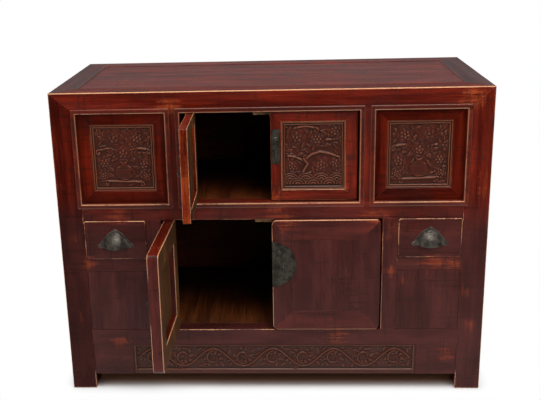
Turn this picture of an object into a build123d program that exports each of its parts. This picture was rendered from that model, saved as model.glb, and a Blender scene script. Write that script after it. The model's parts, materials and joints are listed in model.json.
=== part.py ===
from build123d import *
import os
from dataclasses import dataclass
from math import cos, radians, sin

# A low cupboard of framed panels with two pairs of pivoting doors and two small drawers.
# x runs along the front with 0 at the middle, y runs from the front to the back with 0 at the
# middle of the depth, and z is the height above the floor.  Sizes are in millimetres.
# A side is -1 on the left and 1 on the right.  An end is -1 at the front and 1 at the back.

os.makedirs("parts", exist_ok=True)

LEFT, RIGHT = -1, 1
FRONT, BACK = -1, 1

# Overall size
width = 1060
depth = 480
height = 790

# Carcass frame
post_width = 62
post_depth = 62
top_rail_height = 52
mid_rail_height = 42
bottom_rail_height = 42
leg_height = 128
front_rail_depth = 40
side_rail_thickness = 30
back_rail_thickness = 30
upper_opening_height = 228
upper_panel_width = 216
upper_stile_width = 36
drawer_bay_width = 156
drawer_bay_height = 102
drawer_rail_height = 34
lower_stile_width = 38
foot_chamfer = 2.5

# Joints of the carcass
joint_gap = 0.2
tenon_thickness = 12
tenon_length = 25
stub_length = 15
tenon_shoulder = 10
tongue = 8
corner_tenon_width = 22
corner_tenon_inset = 20
corner_tenon_cover = 12

# Top
top_board_thickness = 16
top_board_drop = 1
top_tongue_thickness = 8
top_board_count = 3
board_gap = 0.6
batten_width = 45
batten_thickness = 20
batten_spacing = 320

# Floors of the two cupboards
floor_thickness = 12
floor_drop = 5
floor_board_count = 6

# Panels of the carcass
flush_setback = 0.5
flush_lip = 6
flush_tongue_thickness = 8
flush_gap = 2
side_panel_setback = 5
side_panel_thickness = 12
back_board_setback = 10
back_board_thickness = 10
fixed_frame_setback = 15
fixed_frame_thickness = 16
fixed_frame_width = 30

# Carved panels, here with their border and a plain sunk ground
carved_setback = 1
carved_border_width = 12
carved_border_height = 3
carved_border_margin = 3
carved_plate_thickness = 7
carved_rosette_radius = 34
carved_rosette_height = 2

# Apron under the front
apron_drop = 86
apron_thickness = 18
apron_setback = 2
apron_block_width = 103
apron_border_width = 9
apron_sunk_depth = 3

# Doors
meeting_gap = 3
pin_inset = 18
top_pin_length = 14
bottom_pin_length = 10
pin_gap = 0.1
socket_gap = 0.2
panel_tongue = 8
door_tenon_thickness = 6
door_tenon_margin = 8
door_panel_setback = 0.5
door_panel_lip = 5
door_panel_tongue_thickness = 8
lower_open_angle = 91.7
upper_open_angle = 89.4
stop_gap = 0.3
stop_width = 80
stop_height = 14
stop_depth = 18

# Iron plates on the doors
plate_thickness = 1.4
plate_gap = 0.05
round_plate_radius = 60
round_plate_rise = 31
strip_plate_width = 20
strip_plate_length = 86
strip_plate_rise = 24
strip_plate_inset = 3
strip_plate_corner = 1.5
stud_radius = 5
stud_height = 3.5
stud_shank_radius = 1.6
stud_shank_length = 9
staple_radius = 7
staple_wire_radius = 1.8
staple_leg_length = 9

# Drawers
drawer_gap = 0.8
drawer_proud = 3
drawer_front_thickness = 20
drawer_corner_radius = 5
drawer_edge_radius = 2
drawer_length = 340
drawer_side_thickness = 10
drawer_side_height = 88
drawer_lap = 12
drawer_back_thickness = 10
drawer_bottom_thickness = 6
drawer_bottom_rise = 8
drawer_groove = 5
drawer_bottom_gap = 0.3
runner_gap = 0.3
runner_ledge = 18
runner_thickness = 20
guide_width = 16
guide_height = 20
runner_tenon_length = 10
runner_tenon_shoulder = 3
drawer_stop_length = 20

# Cup pulls
cup_radius = 36
cup_height = 40
cup_depth = 24
cup_wall = 1.6
cup_fullness = 0.73
cup_flange_width = 4
cup_flange_thickness = 1.5
cup_rise = 33
ear_radius = 6
ear_reach = 39
ear_rise = 4
pull_nail_radius = 1.1
pull_nail_head_radius = 2.6
pull_nail_head_height = 1.2
pull_nail_length = 14

# Places that follow from the sizes
half_width = width / 2
half_depth = depth / 2
post_x = half_width - post_width
post_y = half_depth - post_depth
front_y = -half_depth
rail_back_y = front_y + front_rail_depth
rail_tenon_y = (front_y + rail_back_y) / 2
back_y = half_depth - back_rail_thickness
back_tenon_y = (half_depth + back_y) / 2
side_x = half_width - side_rail_thickness
side_tenon_x = (half_width + side_x) / 2

bottom_rail_z = (leg_height, leg_height + bottom_rail_height)
upper_bay_z = (height - top_rail_height - upper_opening_height, height - top_rail_height)
mid_rail_z = (upper_bay_z[0] - mid_rail_height, upper_bay_z[0])
lower_bay_z = (bottom_rail_z[1], mid_rail_z[0])
drawer_bay_z = (mid_rail_z[0] - drawer_bay_height, mid_rail_z[0])
drawer_rail_z = (drawer_bay_z[0] - drawer_rail_height, drawer_bay_z[0])
under_drawer_z = (lower_bay_z[0], drawer_rail_z[0])
top_rail_z = (upper_bay_z[1], height)

upper_stile_x = (post_x - upper_panel_width - upper_stile_width, post_x - upper_panel_width)
lower_stile_x = (post_x - drawer_bay_width - lower_stile_width, post_x - drawer_bay_width)
drawer_bay_x = (lower_stile_x[1], post_x)
upper_panel_x = (upper_stile_x[1], post_x)

top_board_top = height - top_board_drop
top_board_low = top_board_top - top_board_thickness
shelf_z = (upper_bay_z[0] - floor_drop - floor_thickness, upper_bay_z[0] - floor_drop)
floor_z = (lower_bay_z[0] - floor_drop - floor_thickness, lower_bay_z[0] - floor_drop)
apron_z = (bottom_rail_z[0] - apron_drop, bottom_rail_z[0])
apron_x = post_x - apron_block_width


# ---------------------------------------------------------------- helpers

def across(side, near, far):
    """Limits in x, or in y, of what lies between near and far from the middle on one side."""
    return tuple(sorted((side * near, side * far)))


def about(centre, size):
    """Limits of something of a given size about its centre."""
    return (centre - size / 2, centre + size / 2)


def grown(limits, amount):
    """Limits moved outwards by an amount at both ends."""
    return (limits[0] - amount, limits[1] + amount)


def block(x, y, z, mode=Mode.ADD, base=Plane.XY):
    """Adds or cuts a rectangular block between its limits in x, y and z."""
    with BuildSketch(base.offset(z[0])) as outline:
        with Locations(((x[0] + x[1]) / 2, (y[0] + y[1]) / 2)):
            Rectangle(x[1] - x[0], y[1] - y[0])
    extrude(outline.sketch, amount=z[1] - z[0], mode=mode)


def mortise(box, base=Plane.XY):
    """Cuts the room for a tenon, a tongue or a board that is given as its three limits."""
    block(*(grown(limits, joint_gap) for limits in box), mode=Mode.SUBTRACT, base=base)


def cut_triangle(plane, corners, reach):
    """Cuts a triangular prism, drawn on a plane, to both sides of that plane."""
    with BuildSketch(plane) as triangle:
        Polygon(*corners, align=None)
    extrude(triangle.sketch, amount=reach, both=True, mode=Mode.SUBTRACT)


def save(piece, name):
    """Names a finished piece and writes it to its own file."""
    piece.part.label = name
    export_step(piece.part, f"parts/{name}.step")


# ---------------------------------------------------------------- tenons and tongues of the carcass

def long_rail_tenon(side, z, y_middle):
    """Tenon of a rail along the front or back, in a post."""
    return (across(side, post_x, post_x + tenon_length), about(y_middle, tenon_thickness),
            grown(z, -tenon_shoulder))


def side_rail_tenon(side, end, z):
    """Tenon of a side rail in a post."""
    return (about(side * side_tenon_x, tenon_thickness),
            across(end, post_y, post_y + tenon_length), grown(z, -tenon_shoulder))


def stile_tenons(x, y_middle, z):
    """Tenons at the top and bottom of an upright between two rails."""
    narrow = grown(x, -tenon_shoulder)
    thin = about(y_middle, tenon_thickness)
    return ((narrow, thin, (z[0] - stub_length, z[0])), (narrow, thin, (z[1], z[1] + stub_length)))


def drawer_rail_tenons(side):
    """Tenons of a drawer rail in the post and in the lower stile."""
    thin = about(rail_tenon_y, tenon_thickness)
    low = grown(drawer_rail_z, -tenon_shoulder)
    return ((across(side, drawer_bay_x[1], drawer_bay_x[1] + stub_length), thin, low),
            (across(side, drawer_bay_x[0] - stub_length, drawer_bay_x[0]), thin, low))


def corner_tenon(side, end):
    """Square tenon on top of a post, inside the three-way mitre."""
    return (about(side * (post_x + corner_tenon_inset), corner_tenon_width),
            about(end * (post_y + corner_tenon_inset), corner_tenon_width),
            (top_rail_z[0], height - corner_tenon_cover))


def batten_tenons(side):
    """Tenons of a batten in the front and back rails of the top."""
    x = grown(about(side * batten_spacing / 2, batten_width), -tenon_shoulder)
    z = (top_board_low - batten_thickness + runner_tenon_shoulder,
         top_board_low - runner_tenon_shoulder)
    return [(x, across(end, post_y, post_y + runner_tenon_length), z) for end in (FRONT, BACK)]


def fixed_frame_box(side):
    """Room of the inner frame of a fixed upper panel, with its edges in the grooves around it."""
    low = front_y + fixed_frame_setback
    return (across(side, *grown(upper_panel_x, tongue)), (low, low + fixed_frame_thickness),
            grown(upper_bay_z, tongue))


def flush_tongue_box(side):
    """Tongue of the plain panel under a drawer."""
    low = front_y + flush_setback + flush_lip
    return (across(side, *grown(drawer_bay_x, tongue)), (low, low + flush_tongue_thickness),
            grown(under_drawer_z, tongue))


def side_panel_box(side, bay_z):
    """A side panel with its edges in the grooves around it."""
    outer = half_width - side_panel_setback
    return (across(side, outer - side_panel_thickness, outer),
            grown((-post_y, post_y), tongue), grown(bay_z, tongue))


def back_board_box(x, bay_z):
    """A back board with its edges in the grooves around it."""
    outer = half_depth - back_board_setback
    return (grown(x, tongue), (outer - back_board_thickness, outer), grown(bay_z, tongue))


def back_board_boxes():
    """The upper back board, and the three below it between the posts and muntins."""
    inner, outer = lower_stile_x
    return [back_board_box((-post_x, post_x), upper_bay_z),
            back_board_box((-post_x, -outer), lower_bay_z),
            back_board_box((-inner, inner), lower_bay_z),
            back_board_box((outer, post_x), lower_bay_z)]


def floor_box(z):
    """A floor with its edges in the grooves of the rails around it."""
    return (grown((-side_x, side_x), tongue), grown((rail_back_y, back_y), tongue), z)


def top_tongue_box():
    """Tongues of the top boards."""
    return (grown((-post_x, post_x), tongue), grown((-post_y, post_y), tongue),
            (top_board_low, top_board_low + top_tongue_thickness))


def apron_tongue_box():
    """Tongue along the top of the apron and its blocks, in the bottom rail."""
    middle = front_y + apron_setback + apron_thickness / 2
    return ((-post_x, post_x), about(middle, flush_tongue_thickness),
            (apron_z[1], apron_z[1] + tongue))


def apron_side_tongue(side):
    """Tongue of an apron block in the post."""
    middle = front_y + apron_setback + apron_thickness / 2
    return (across(side, post_x, post_x + tongue), about(middle, flush_tongue_thickness), apron_z)


def runner_tenons(side):
    """Tenons of the outer and inner runner: front and back post, lower stile and muntin."""
    z = (drawer_bay_z[0] - runner_thickness + runner_tenon_shoulder,
         drawer_bay_z[0] + guide_height - runner_tenon_shoulder)
    outer = across(side, post_x, post_x + guide_width)
    inner = across(side, lower_stile_x[1] - guide_width, lower_stile_x[1])
    outer = grown(outer, -runner_tenon_shoulder)
    inner = grown(inner, -runner_tenon_shoulder)
    return ((outer, (-post_y - runner_tenon_length, -post_y), z),
            (outer, (post_y, post_y + runner_tenon_length), z),
            (inner, (rail_back_y - runner_tenon_length, rail_back_y), z),
            (inner, (back_y, back_y + runner_tenon_length), z))


# ---------------------------------------------------------------- doors: sizes and planes

@dataclass
class DoorKind:
    """Sizes of a pair of doors."""
    half_opening: float
    opening_z: tuple
    gap_below: float
    gap_above: float
    hinge_gap: float
    face_y: float
    thickness: float
    bar: float
    corner_radius: float
    arris_radius: float
    mitre_depth: float
    pin_radius: float

    @property
    def low(self):
        return self.opening_z[0] + self.gap_below

    @property
    def high(self):
        return self.opening_z[1] - self.gap_above

    @property
    def pivot_x(self):
        return self.half_opening - self.hinge_gap - pin_inset

    @property
    def pivot_y(self):
        return self.face_y + self.thickness / 2

    @property
    def x(self):
        """Limits along the leaf, from its hinge edge to its meeting edge; the pivot is at 0."""
        return (-pin_inset, self.pivot_x - meeting_gap / 2)

    @property
    def hinge_bar_x(self):
        return (self.x[0], self.x[0] + self.bar)

    @property
    def lock_bar_x(self):
        return (self.x[1] - self.bar, self.x[1])

    @property
    def z(self):
        return (self.low, self.high)


lower_door = DoorKind(
    half_opening=lower_stile_x[0],
    opening_z=lower_bay_z,
    gap_below=1.5,
    gap_above=1.5,
    hinge_gap=3,
    face_y=front_y - 5,
    thickness=26.5,
    bar=52,
    corner_radius=10,
    arris_radius=8,
    mitre_depth=8,
    pin_radius=4.5,
)
upper_door = DoorKind(
    half_opening=upper_stile_x[0],
    opening_z=upper_bay_z,
    gap_below=2.5,
    gap_above=2,
    hinge_gap=7.5,
    face_y=front_y + 14,
    thickness=18.8,
    bar=27,
    corner_radius=2,
    arris_radius=5,
    mitre_depth=5,
    pin_radius=4,
)


@dataclass
class IronKind:
    """Places on a door's iron plate; each pair is the way in from the meeting edge, and up."""
    round_plate: bool
    middle_z: float
    stud: tuple
    staple: tuple

    def stud_place(self, edge):
        return (edge - self.stud[0], self.middle_z + self.stud[1])

    def leg_places(self, edge):
        """Places of the two legs of the staple, one above the other."""
        return [(edge - self.staple[0], self.middle_z + self.staple[1] + leg)
                for leg in (-staple_radius, staple_radius)]


round_iron = IronKind(round_plate=True, middle_z=sum(lower_bay_z) / 2 + round_plate_rise,
                      stud=(18, 33), staple=(27, -11))
strip_iron = IronKind(round_plate=False, middle_z=sum(upper_bay_z) / 2 + strip_plate_rise,
                      stud=(13, 20), staple=(13, -18))


def leaf_plane(kind, side, angle):
    """Level plane of a door leaf: x runs from the pivot along the leaf and z is up."""
    along = Vector(-side * cos(radians(angle)), -sin(radians(angle)), 0)
    return Plane(origin=(side * kind.pivot_x, kind.pivot_y, 0), x_dir=along, z_dir=(0, 0, 1))


def upright(leaf):
    """Upright plane through the middle of a leaf: x runs along the leaf and y is up."""
    return Plane(origin=leaf.origin, x_dir=leaf.x_dir, z_dir=leaf.x_dir.cross(leaf.z_dir))


def inward(side, near, far):
    """Limits across a leaf, counted from its middle towards the inside of the cupboard."""
    return across(-side, near, far)


def pin_socket(kind, side):
    """Cuts the sockets of a door's two pivots in the rails above and below it."""
    with Locations((side * kind.pivot_x, kind.pivot_y, 0)):
        for low, high in ((kind.low - bottom_pin_length - socket_gap, kind.opening_z[0]),
                          (kind.opening_z[1], kind.high + top_pin_length + socket_gap)):
            with Locations((0, 0, low)):
                Cylinder(kind.pin_radius + pin_gap, high - low,
                         align=(Align.CENTER, Align.CENTER, Align.MIN), mode=Mode.SUBTRACT)


# ---------------------------------------------------------------- mitred frames

BOTTOM, FAR, TOP, NEAR = range(4)


def frame_bars(x, z, bar, chosen):
    """Draws the chosen bars of a mitred frame on an upright plane."""
    outer = [(x[0], z[0]), (x[1], z[0]), (x[1], z[1]), (x[0], z[1])]
    inner_x = grown(x, -bar)
    inner_z = grown(z, -bar)
    inner = [(inner_x[0], inner_z[0]), (inner_x[1], inner_z[0]),
             (inner_x[1], inner_z[1]), (inner_x[0], inner_z[1])]
    for start in chosen:
        following = (start + 1) % len(outer)
        Polygon(outer[start], outer[following], inner[following], inner[start], align=None)


def frame_tenons(x, z, bar, y):
    """Tenons of the two rails of a mitred frame, hidden in its stiles."""
    low = (z[0] + door_tenon_margin, z[0] + bar - panel_tongue - 2 * joint_gap)
    high = (z[1] - bar + panel_tongue + 2 * joint_gap, z[1] - door_tenon_margin)
    near = (x[0] + door_tenon_margin, x[0] + bar)
    far = (x[1] - bar, x[1] - door_tenon_margin)
    return [(along, y, upwards) for along in (near, far) for upwards in (low, high)]


# ---------------------------------------------------------------- carcass

def make_post(side, end, name):
    """A corner post, which is also a leg, with its third of the three-way mitre on top."""
    x = across(side, post_x, half_width)
    y = across(end, post_y, half_depth)
    with BuildPart() as post:
        block(x, y, (0, height))
        chamfer(post.faces().sort_by(Axis.Z)[0].edges(), foot_chamfer)
        cut_triangle(Plane.XZ, ((side * half_width, height), (side * post_x, height),
                                (side * post_x, top_rail_z[0])), depth)
        cut_triangle(Plane.YZ, ((end * half_depth, height), (end * post_y, height),
                                (end * post_y, top_rail_z[0])), width)
        block(*corner_tenon(side, end))
        for rail_z in (bottom_rail_z, mid_rail_z):
            mortise(long_rail_tenon(side, rail_z, rail_tenon_y if end == FRONT else back_tenon_y))
            mortise(side_rail_tenon(side, end, rail_z))
        for bay_z in (lower_bay_z, upper_bay_z):
            mortise(side_panel_box(side, bay_z))
        if end == FRONT:
            mortise(fixed_frame_box(side))
            mortise(flush_tongue_box(side))
            mortise(drawer_rail_tenons(side)[0])
            mortise(apron_side_tongue(side))
            mortise(runner_tenons(side)[0])
        else:
            mortise(runner_tenons(side)[1])
            for box in back_board_boxes():
                mortise(box)
    save(post, name)


def make_long_top_rail(end, name):
    """The front or back rail of the top, mitred to the side rails and to the posts."""
    with BuildPart() as rail:
        block((-half_width, half_width), across(end, post_y, half_depth), top_rail_z)
        for side in (LEFT, RIGHT):
            cut_triangle(Plane.XZ, ((side * half_width, height), (side * half_width, top_rail_z[0]),
                                    (side * post_x, top_rail_z[0])), depth)
            cut_triangle(Plane.XY.offset(height), ((side * half_width, end * half_depth),
                                                   (side * half_width, end * post_y),
                                                   (side * post_x, end * post_y)), height)
            mortise(corner_tenon(side, end))
            mortise(batten_tenons(side)[0 if end == FRONT else 1])
        mortise(top_tongue_box())
        if end == FRONT:
            for side in (LEFT, RIGHT):
                mortise(fixed_frame_box(side))
                mortise(stile_tenons(across(side, *upper_stile_x), rail_tenon_y, upper_bay_z)[1])
                pin_socket(upper_door, side)
        else:
            mortise(back_board_boxes()[0])
    save(rail, name)


def make_side_top_rail(side, name):
    """The left or right rail of the top."""
    with BuildPart() as rail:
        block(across(side, post_x, half_width), (-half_depth, half_depth), top_rail_z)
        for end in (FRONT, BACK):
            cut_triangle(Plane.YZ, ((end * half_depth, height), (end * half_depth, top_rail_z[0]),
                                    (end * post_y, top_rail_z[0])), width)
            cut_triangle(Plane.XY.offset(height), ((side * half_width, end * half_depth),
                                                   (side * post_x, end * half_depth),
                                                   (side * post_x, end * post_y)), height)
            mortise(corner_tenon(side, end))
        mortise(top_tongue_box())
        mortise(side_panel_box(side, upper_bay_z))
    save(rail, name)


for side, side_name in ((LEFT, "left"), (RIGHT, "right")):
    for end, end_name in ((FRONT, "front"), (BACK, "back")):
        make_post(side, end, f"post_{end_name}_{side_name}")
    make_side_top_rail(side, f"top_rail_{side_name}")
make_long_top_rail(FRONT, "top_rail_front")
make_long_top_rail(BACK, "top_rail_back")


with BuildPart() as top_boards:
    tongue_x, tongue_y, tongue_z = top_tongue_box()
    block((-post_x, post_x), (-post_y, post_y), (top_board_low, top_board_top))
    block(grown(tongue_x, -joint_gap), grown(tongue_y, -joint_gap), tongue_z)
    board_width = 2 * post_y / top_board_count
    for joint in range(1, top_board_count):
        joint_y = about(-post_y + joint * board_width, board_gap)
        block((-half_width, half_width), joint_y, (top_board_low, height), mode=Mode.SUBTRACT)
save(top_boards, "top_boards")


with BuildPart() as top_battens:
    for side in (LEFT, RIGHT):
        batten_x = about(side * batten_spacing / 2, batten_width)
        block(batten_x, (-post_y, post_y), (top_board_low - batten_thickness, top_board_low))
        for tenon in batten_tenons(side):
            block(*tenon)
save(top_battens, "top_battens")


with BuildPart() as mid_rail:
    block((-post_x, post_x), (front_y, rail_back_y), mid_rail_z)
    for side in (LEFT, RIGHT):
        block(*long_rail_tenon(side, mid_rail_z, rail_tenon_y))
        mortise(stile_tenons(across(side, *upper_stile_x), rail_tenon_y, upper_bay_z)[0])
        mortise(stile_tenons(across(side, *lower_stile_x), rail_tenon_y, lower_bay_z)[1])
        mortise(fixed_frame_box(side))
        pin_socket(upper_door, side)
        pin_socket(lower_door, side)
    mortise(floor_box(shelf_z))
save(mid_rail, "mid_rail")


with BuildPart() as bottom_rail:
    block((-post_x, post_x), (front_y, rail_back_y), bottom_rail_z)
    for side in (LEFT, RIGHT):
        block(*long_rail_tenon(side, bottom_rail_z, rail_tenon_y))
        mortise(stile_tenons(across(side, *lower_stile_x), rail_tenon_y, lower_bay_z)[0])
        mortise(flush_tongue_box(side))
        pin_socket(lower_door, side)
    mortise(floor_box(floor_z))
    mortise(apron_tongue_box())
save(bottom_rail, "bottom_rail")


with BuildPart() as upper_stiles:
    for side in (LEFT, RIGHT):
        stile_x = across(side, *upper_stile_x)
        block(stile_x, (front_y, rail_back_y), upper_bay_z)
        for tenon in stile_tenons(stile_x, rail_tenon_y, upper_bay_z):
            block(*tenon)
        mortise(fixed_frame_box(side))
save(upper_stiles, "upper_stiles")


with BuildPart() as lower_stiles:
    for side in (LEFT, RIGHT):
        stile_x = across(side, *lower_stile_x)
        block(stile_x, (front_y, rail_back_y), lower_bay_z)
        for tenon in stile_tenons(stile_x, rail_tenon_y, lower_bay_z):
            block(*tenon)
        mortise(flush_tongue_box(side))
        mortise(drawer_rail_tenons(side)[1])
        mortise(runner_tenons(side)[2])
save(lower_stiles, "lower_stiles")


with BuildPart() as drawer_rails:
    for side in (LEFT, RIGHT):
        block(across(side, *drawer_bay_x), (front_y, rail_back_y), drawer_rail_z)
        for tenon in drawer_rail_tenons(side):
            block(*tenon)
        mortise(flush_tongue_box(side))
save(drawer_rails, "drawer_rails")


with BuildPart() as side_rails:
    for side in (LEFT, RIGHT):
        for rail_z in (bottom_rail_z, mid_rail_z):
            block(across(side, side_x, half_width), (-post_y, post_y), rail_z)
            for end in (FRONT, BACK):
                block(*side_rail_tenon(side, end, rail_z))
        for bay_z in (lower_bay_z, upper_bay_z):
            mortise(side_panel_box(side, bay_z))
    for board_z in (floor_z, shelf_z):
        mortise(floor_box(board_z))
save(side_rails, "side_rails")


with BuildPart() as side_panels:
    for side in (LEFT, RIGHT):
        for bay_z in (lower_bay_z, upper_bay_z):
            panel_x, panel_y, panel_z = side_panel_box(side, bay_z)
            block(panel_x, grown(panel_y, -joint_gap), grown(panel_z, -joint_gap))
save(side_panels, "side_panels")


with BuildPart() as back_rails:
    for rail_z in (bottom_rail_z, mid_rail_z):
        block((-post_x, post_x), (back_y, half_depth), rail_z)
        for side in (LEFT, RIGHT):
            block(*long_rail_tenon(side, rail_z, back_tenon_y))
    for side in (LEFT, RIGHT):
        for tenon in stile_tenons(across(side, *lower_stile_x), back_tenon_y, lower_bay_z):
            mortise(tenon)
    for box in back_board_boxes():
        mortise(box)
    for board_z in (floor_z, shelf_z):
        mortise(floor_box(board_z))
save(back_rails, "back_rails")


with BuildPart() as back_muntins:
    for side in (LEFT, RIGHT):
        muntin_x = across(side, *lower_stile_x)
        block(muntin_x, (back_y, half_depth), lower_bay_z)
        for tenon in stile_tenons(muntin_x, back_tenon_y, lower_bay_z):
            block(*tenon)
        mortise(runner_tenons(side)[3])
    for box in back_board_boxes()[1:]:
        mortise(box)
save(back_muntins, "back_muntins")


with BuildPart() as back_boards:
    for board_x, board_y, board_z in back_board_boxes():
        block(grown(board_x, -joint_gap), board_y, grown(board_z, -joint_gap))
save(back_boards, "back_boards")


def make_floor(z, name):
    """A floor of boards that run from front to back, notched around the posts."""
    floor_x, floor_y, _ = floor_box(z)
    board_width = (floor_x[1] - floor_x[0]) / floor_board_count
    with BuildPart() as boards:
        block(grown(floor_x, -joint_gap), grown(floor_y, -joint_gap), z)
        for side in (LEFT, RIGHT):
            for end in (FRONT, BACK):
                mortise((across(side, post_x, half_width), across(end, post_y, half_depth), z))
        for joint in range(1, floor_board_count):
            joint_x = about(floor_x[0] + joint * board_width, board_gap)
            block(joint_x, (-half_depth, half_depth), z, mode=Mode.SUBTRACT)
    save(boards, name)


make_floor(shelf_z, "shelf_boards")
make_floor(floor_z, "bottom_boards")


with BuildPart() as lower_panels:
    for side in (LEFT, RIGHT):
        tongue_x, tongue_y, tongue_z = flush_tongue_box(side)
        block(grown(tongue_x, -joint_gap), tongue_y, grown(tongue_z, -joint_gap))
        block(grown(across(side, *drawer_bay_x), -flush_gap),
              (front_y + flush_setback, tongue_y[0]), grown(under_drawer_z, -flush_gap))
save(lower_panels, "lower_panels")


with BuildPart() as apron:
    apron_y = (front_y + apron_setback, front_y + apron_setback + apron_thickness)
    board_x = (-apron_x, apron_x)
    tongue_x, tongue_y, tongue_z = apron_tongue_box()
    block(board_x, apron_y, apron_z)
    block(board_x, tongue_y, (tongue_z[0], tongue_z[1] - joint_gap))
    block(grown(board_x, -apron_border_width), (apron_y[0], apron_y[0] + apron_sunk_depth),
          grown(apron_z, -apron_border_width), mode=Mode.SUBTRACT)
save(apron, "apron")


with BuildPart() as apron_blocks:
    for side in (LEFT, RIGHT):
        block_x = across(side, apron_x + joint_gap, post_x)
        side_tongue_x, side_tongue_y, side_tongue_z = apron_side_tongue(side)
        block(block_x, apron_y, apron_z)
        block(block_x, tongue_y, (tongue_z[0], tongue_z[1] - joint_gap))
        block(side_tongue_x, side_tongue_y, side_tongue_z)
save(apron_blocks, "apron_blocks")


with BuildPart() as drawer_runners:
    for side in (LEFT, RIGHT):
        ledge_z = (drawer_bay_z[0] - runner_thickness, drawer_bay_z[0])
        guide_z = (ledge_z[0], drawer_bay_z[0] + guide_height)
        outer_tenons = runner_tenons(side)[:2]
        inner_tenons = runner_tenons(side)[2:]
        block(across(side, post_x - runner_ledge, post_x), (rail_back_y, post_y), ledge_z)
        block(across(side, post_x, post_x + guide_width), (-post_y, post_y), guide_z)
        block(across(side, lower_stile_x[1], lower_stile_x[1] + runner_ledge),
              (rail_back_y, back_y), ledge_z)
        block(across(side, lower_stile_x[1] - guide_width, lower_stile_x[1]),
              (rail_back_y, back_y), guide_z)
        for tenon in outer_tenons + inner_tenons:
            block(*tenon)
save(drawer_runners, "drawer_runners")


drawer_face_y = front_y - drawer_proud
drawer_end_y = drawer_face_y + drawer_length

with BuildPart() as stop_blocks:
    for kind in (upper_door, lower_door):
        stop_front = kind.face_y + kind.thickness + stop_gap
        block(about(0, stop_width), (stop_front, stop_front + stop_depth),
              (kind.opening_z[1] - stop_height, kind.opening_z[1]))
    for side in (LEFT, RIGHT):
        for stop_x in ((post_x - runner_ledge, post_x),
                       (lower_stile_x[1], lower_stile_x[1] + runner_ledge)):
            block(across(side, *stop_x),
                  (drawer_end_y + stop_gap, drawer_end_y + stop_gap + drawer_stop_length),
                  (drawer_bay_z[0], drawer_bay_z[0] + guide_height))
save(stop_blocks, "stop_blocks")


# ---------------------------------------------------------------- fixed upper panels

def carved_blank(upright_plane, face, x, z, opening_x, opening_z, outward):
    """Adds a carved panel: a plate held in grooves, a raised border, and a round centre boss.

    The face is the place of the border's front along the outward normal, from the plane.
    """
    ground = face - outward * carved_border_height
    with BuildSketch(upright_plane.offset(ground)) as plate:
        with Locations((sum(x) / 2, sum(z) / 2)):
            Rectangle(x[1] - x[0], z[1] - z[0])
    extrude(plate.sketch, amount=-outward * carved_plate_thickness)
    with BuildSketch(upright_plane.offset(ground)) as border:
        border_x = grown(opening_x, -carved_border_margin)
        border_z = grown(opening_z, -carved_border_margin)
        with Locations((sum(border_x) / 2, sum(border_z) / 2)):
            border_size = (border_x[1] - border_x[0], border_z[1] - border_z[0])
            Rectangle(*border_size)
            Rectangle(*(size - 2 * carved_border_width for size in border_size),
                      mode=Mode.SUBTRACT)
    extrude(border.sketch, amount=outward * carved_border_height)
    with BuildSketch(upright_plane.offset(ground)) as rosette:
        with Locations((sum(opening_x) / 2, sum(opening_z) / 2)):
            Circle(carved_rosette_radius)
    extrude(rosette.sketch, amount=outward * carved_rosette_height)


fixed_bar = fixed_frame_width + tongue

with BuildPart() as fixed_frame_stiles:
    for side in (LEFT, RIGHT):
        frame_x, frame_y, frame_z = fixed_frame_box(side)
        with BuildSketch(Plane.XZ.offset(-frame_y[1])):
            frame_bars(frame_x, frame_z, fixed_bar, (FAR, NEAR))
        extrude(amount=frame_y[1] - frame_y[0])
        for tenon in frame_tenons(frame_x, frame_z, fixed_bar,
                                  about(sum(frame_y) / 2, door_tenon_thickness)):
            mortise(tenon)
        mortise((grown(frame_x, panel_tongue - fixed_bar), about(sum(frame_y) / 2,
                 carved_plate_thickness), grown(frame_z, panel_tongue - fixed_bar)))
save(fixed_frame_stiles, "fixed_frame_stiles")


with BuildPart() as fixed_frame_rails:
    for side in (LEFT, RIGHT):
        frame_x, frame_y, frame_z = fixed_frame_box(side)
        with BuildSketch(Plane.XZ.offset(-frame_y[1])):
            frame_bars(frame_x, frame_z, fixed_bar, (BOTTOM, TOP))
        extrude(amount=frame_y[1] - frame_y[0])
        for tenon in frame_tenons(frame_x, frame_z, fixed_bar,
                                  about(sum(frame_y) / 2, door_tenon_thickness)):
            block(*tenon)
        mortise((grown(frame_x, panel_tongue - fixed_bar), about(sum(frame_y) / 2,
                 carved_plate_thickness), grown(frame_z, panel_tongue - fixed_bar)))
save(fixed_frame_rails, "fixed_frame_rails")


with BuildPart() as fixed_panels:
    for side in (LEFT, RIGHT):
        frame_x, frame_y, frame_z = fixed_frame_box(side)
        plate_front = sum(frame_y) / 2 - carved_plate_thickness / 2
        carved_blank(Plane.XZ, -(plate_front - carved_border_height),
                     grown(frame_x, panel_tongue - fixed_bar),
                     grown(frame_z, panel_tongue - fixed_bar),
                     grown(frame_x, -fixed_bar), grown(frame_z, -fixed_bar), 1)
save(fixed_panels, "fixed_panels")


# ---------------------------------------------------------------- doors

def leaf_blank(kind, side, angle):
    """Starts a part as the whole leaf, with round corners and a round hinge edge."""
    leaf = leaf_plane(kind, side, angle)
    leaf_x = kind.x
    length = leaf_x[1] - leaf_x[0]
    with BuildSketch(upright(leaf)) as elevation:
        with Locations((sum(leaf_x) / 2, sum(kind.z) / 2)):
            RectangleRounded(length, kind.high - kind.low, kind.corner_radius)
    extrude(elevation.sketch, amount=kind.thickness / 2, both=True)
    with BuildSketch(leaf.offset(kind.low)) as plan:
        with Locations((sum(leaf_x) / 2, 0)):
            Rectangle(length, kind.thickness)
        fillet(plan.vertices().group_by(Axis.X)[0], kind.arris_radius)
    extrude(plan.sketch, amount=kind.high - kind.low, mode=Mode.INTERSECT)
    return leaf


def front_face(kind, side, leaf):
    """Upright plane on the outer face of a leaf."""
    return upright(leaf).offset(-side * kind.thickness / 2)


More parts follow.
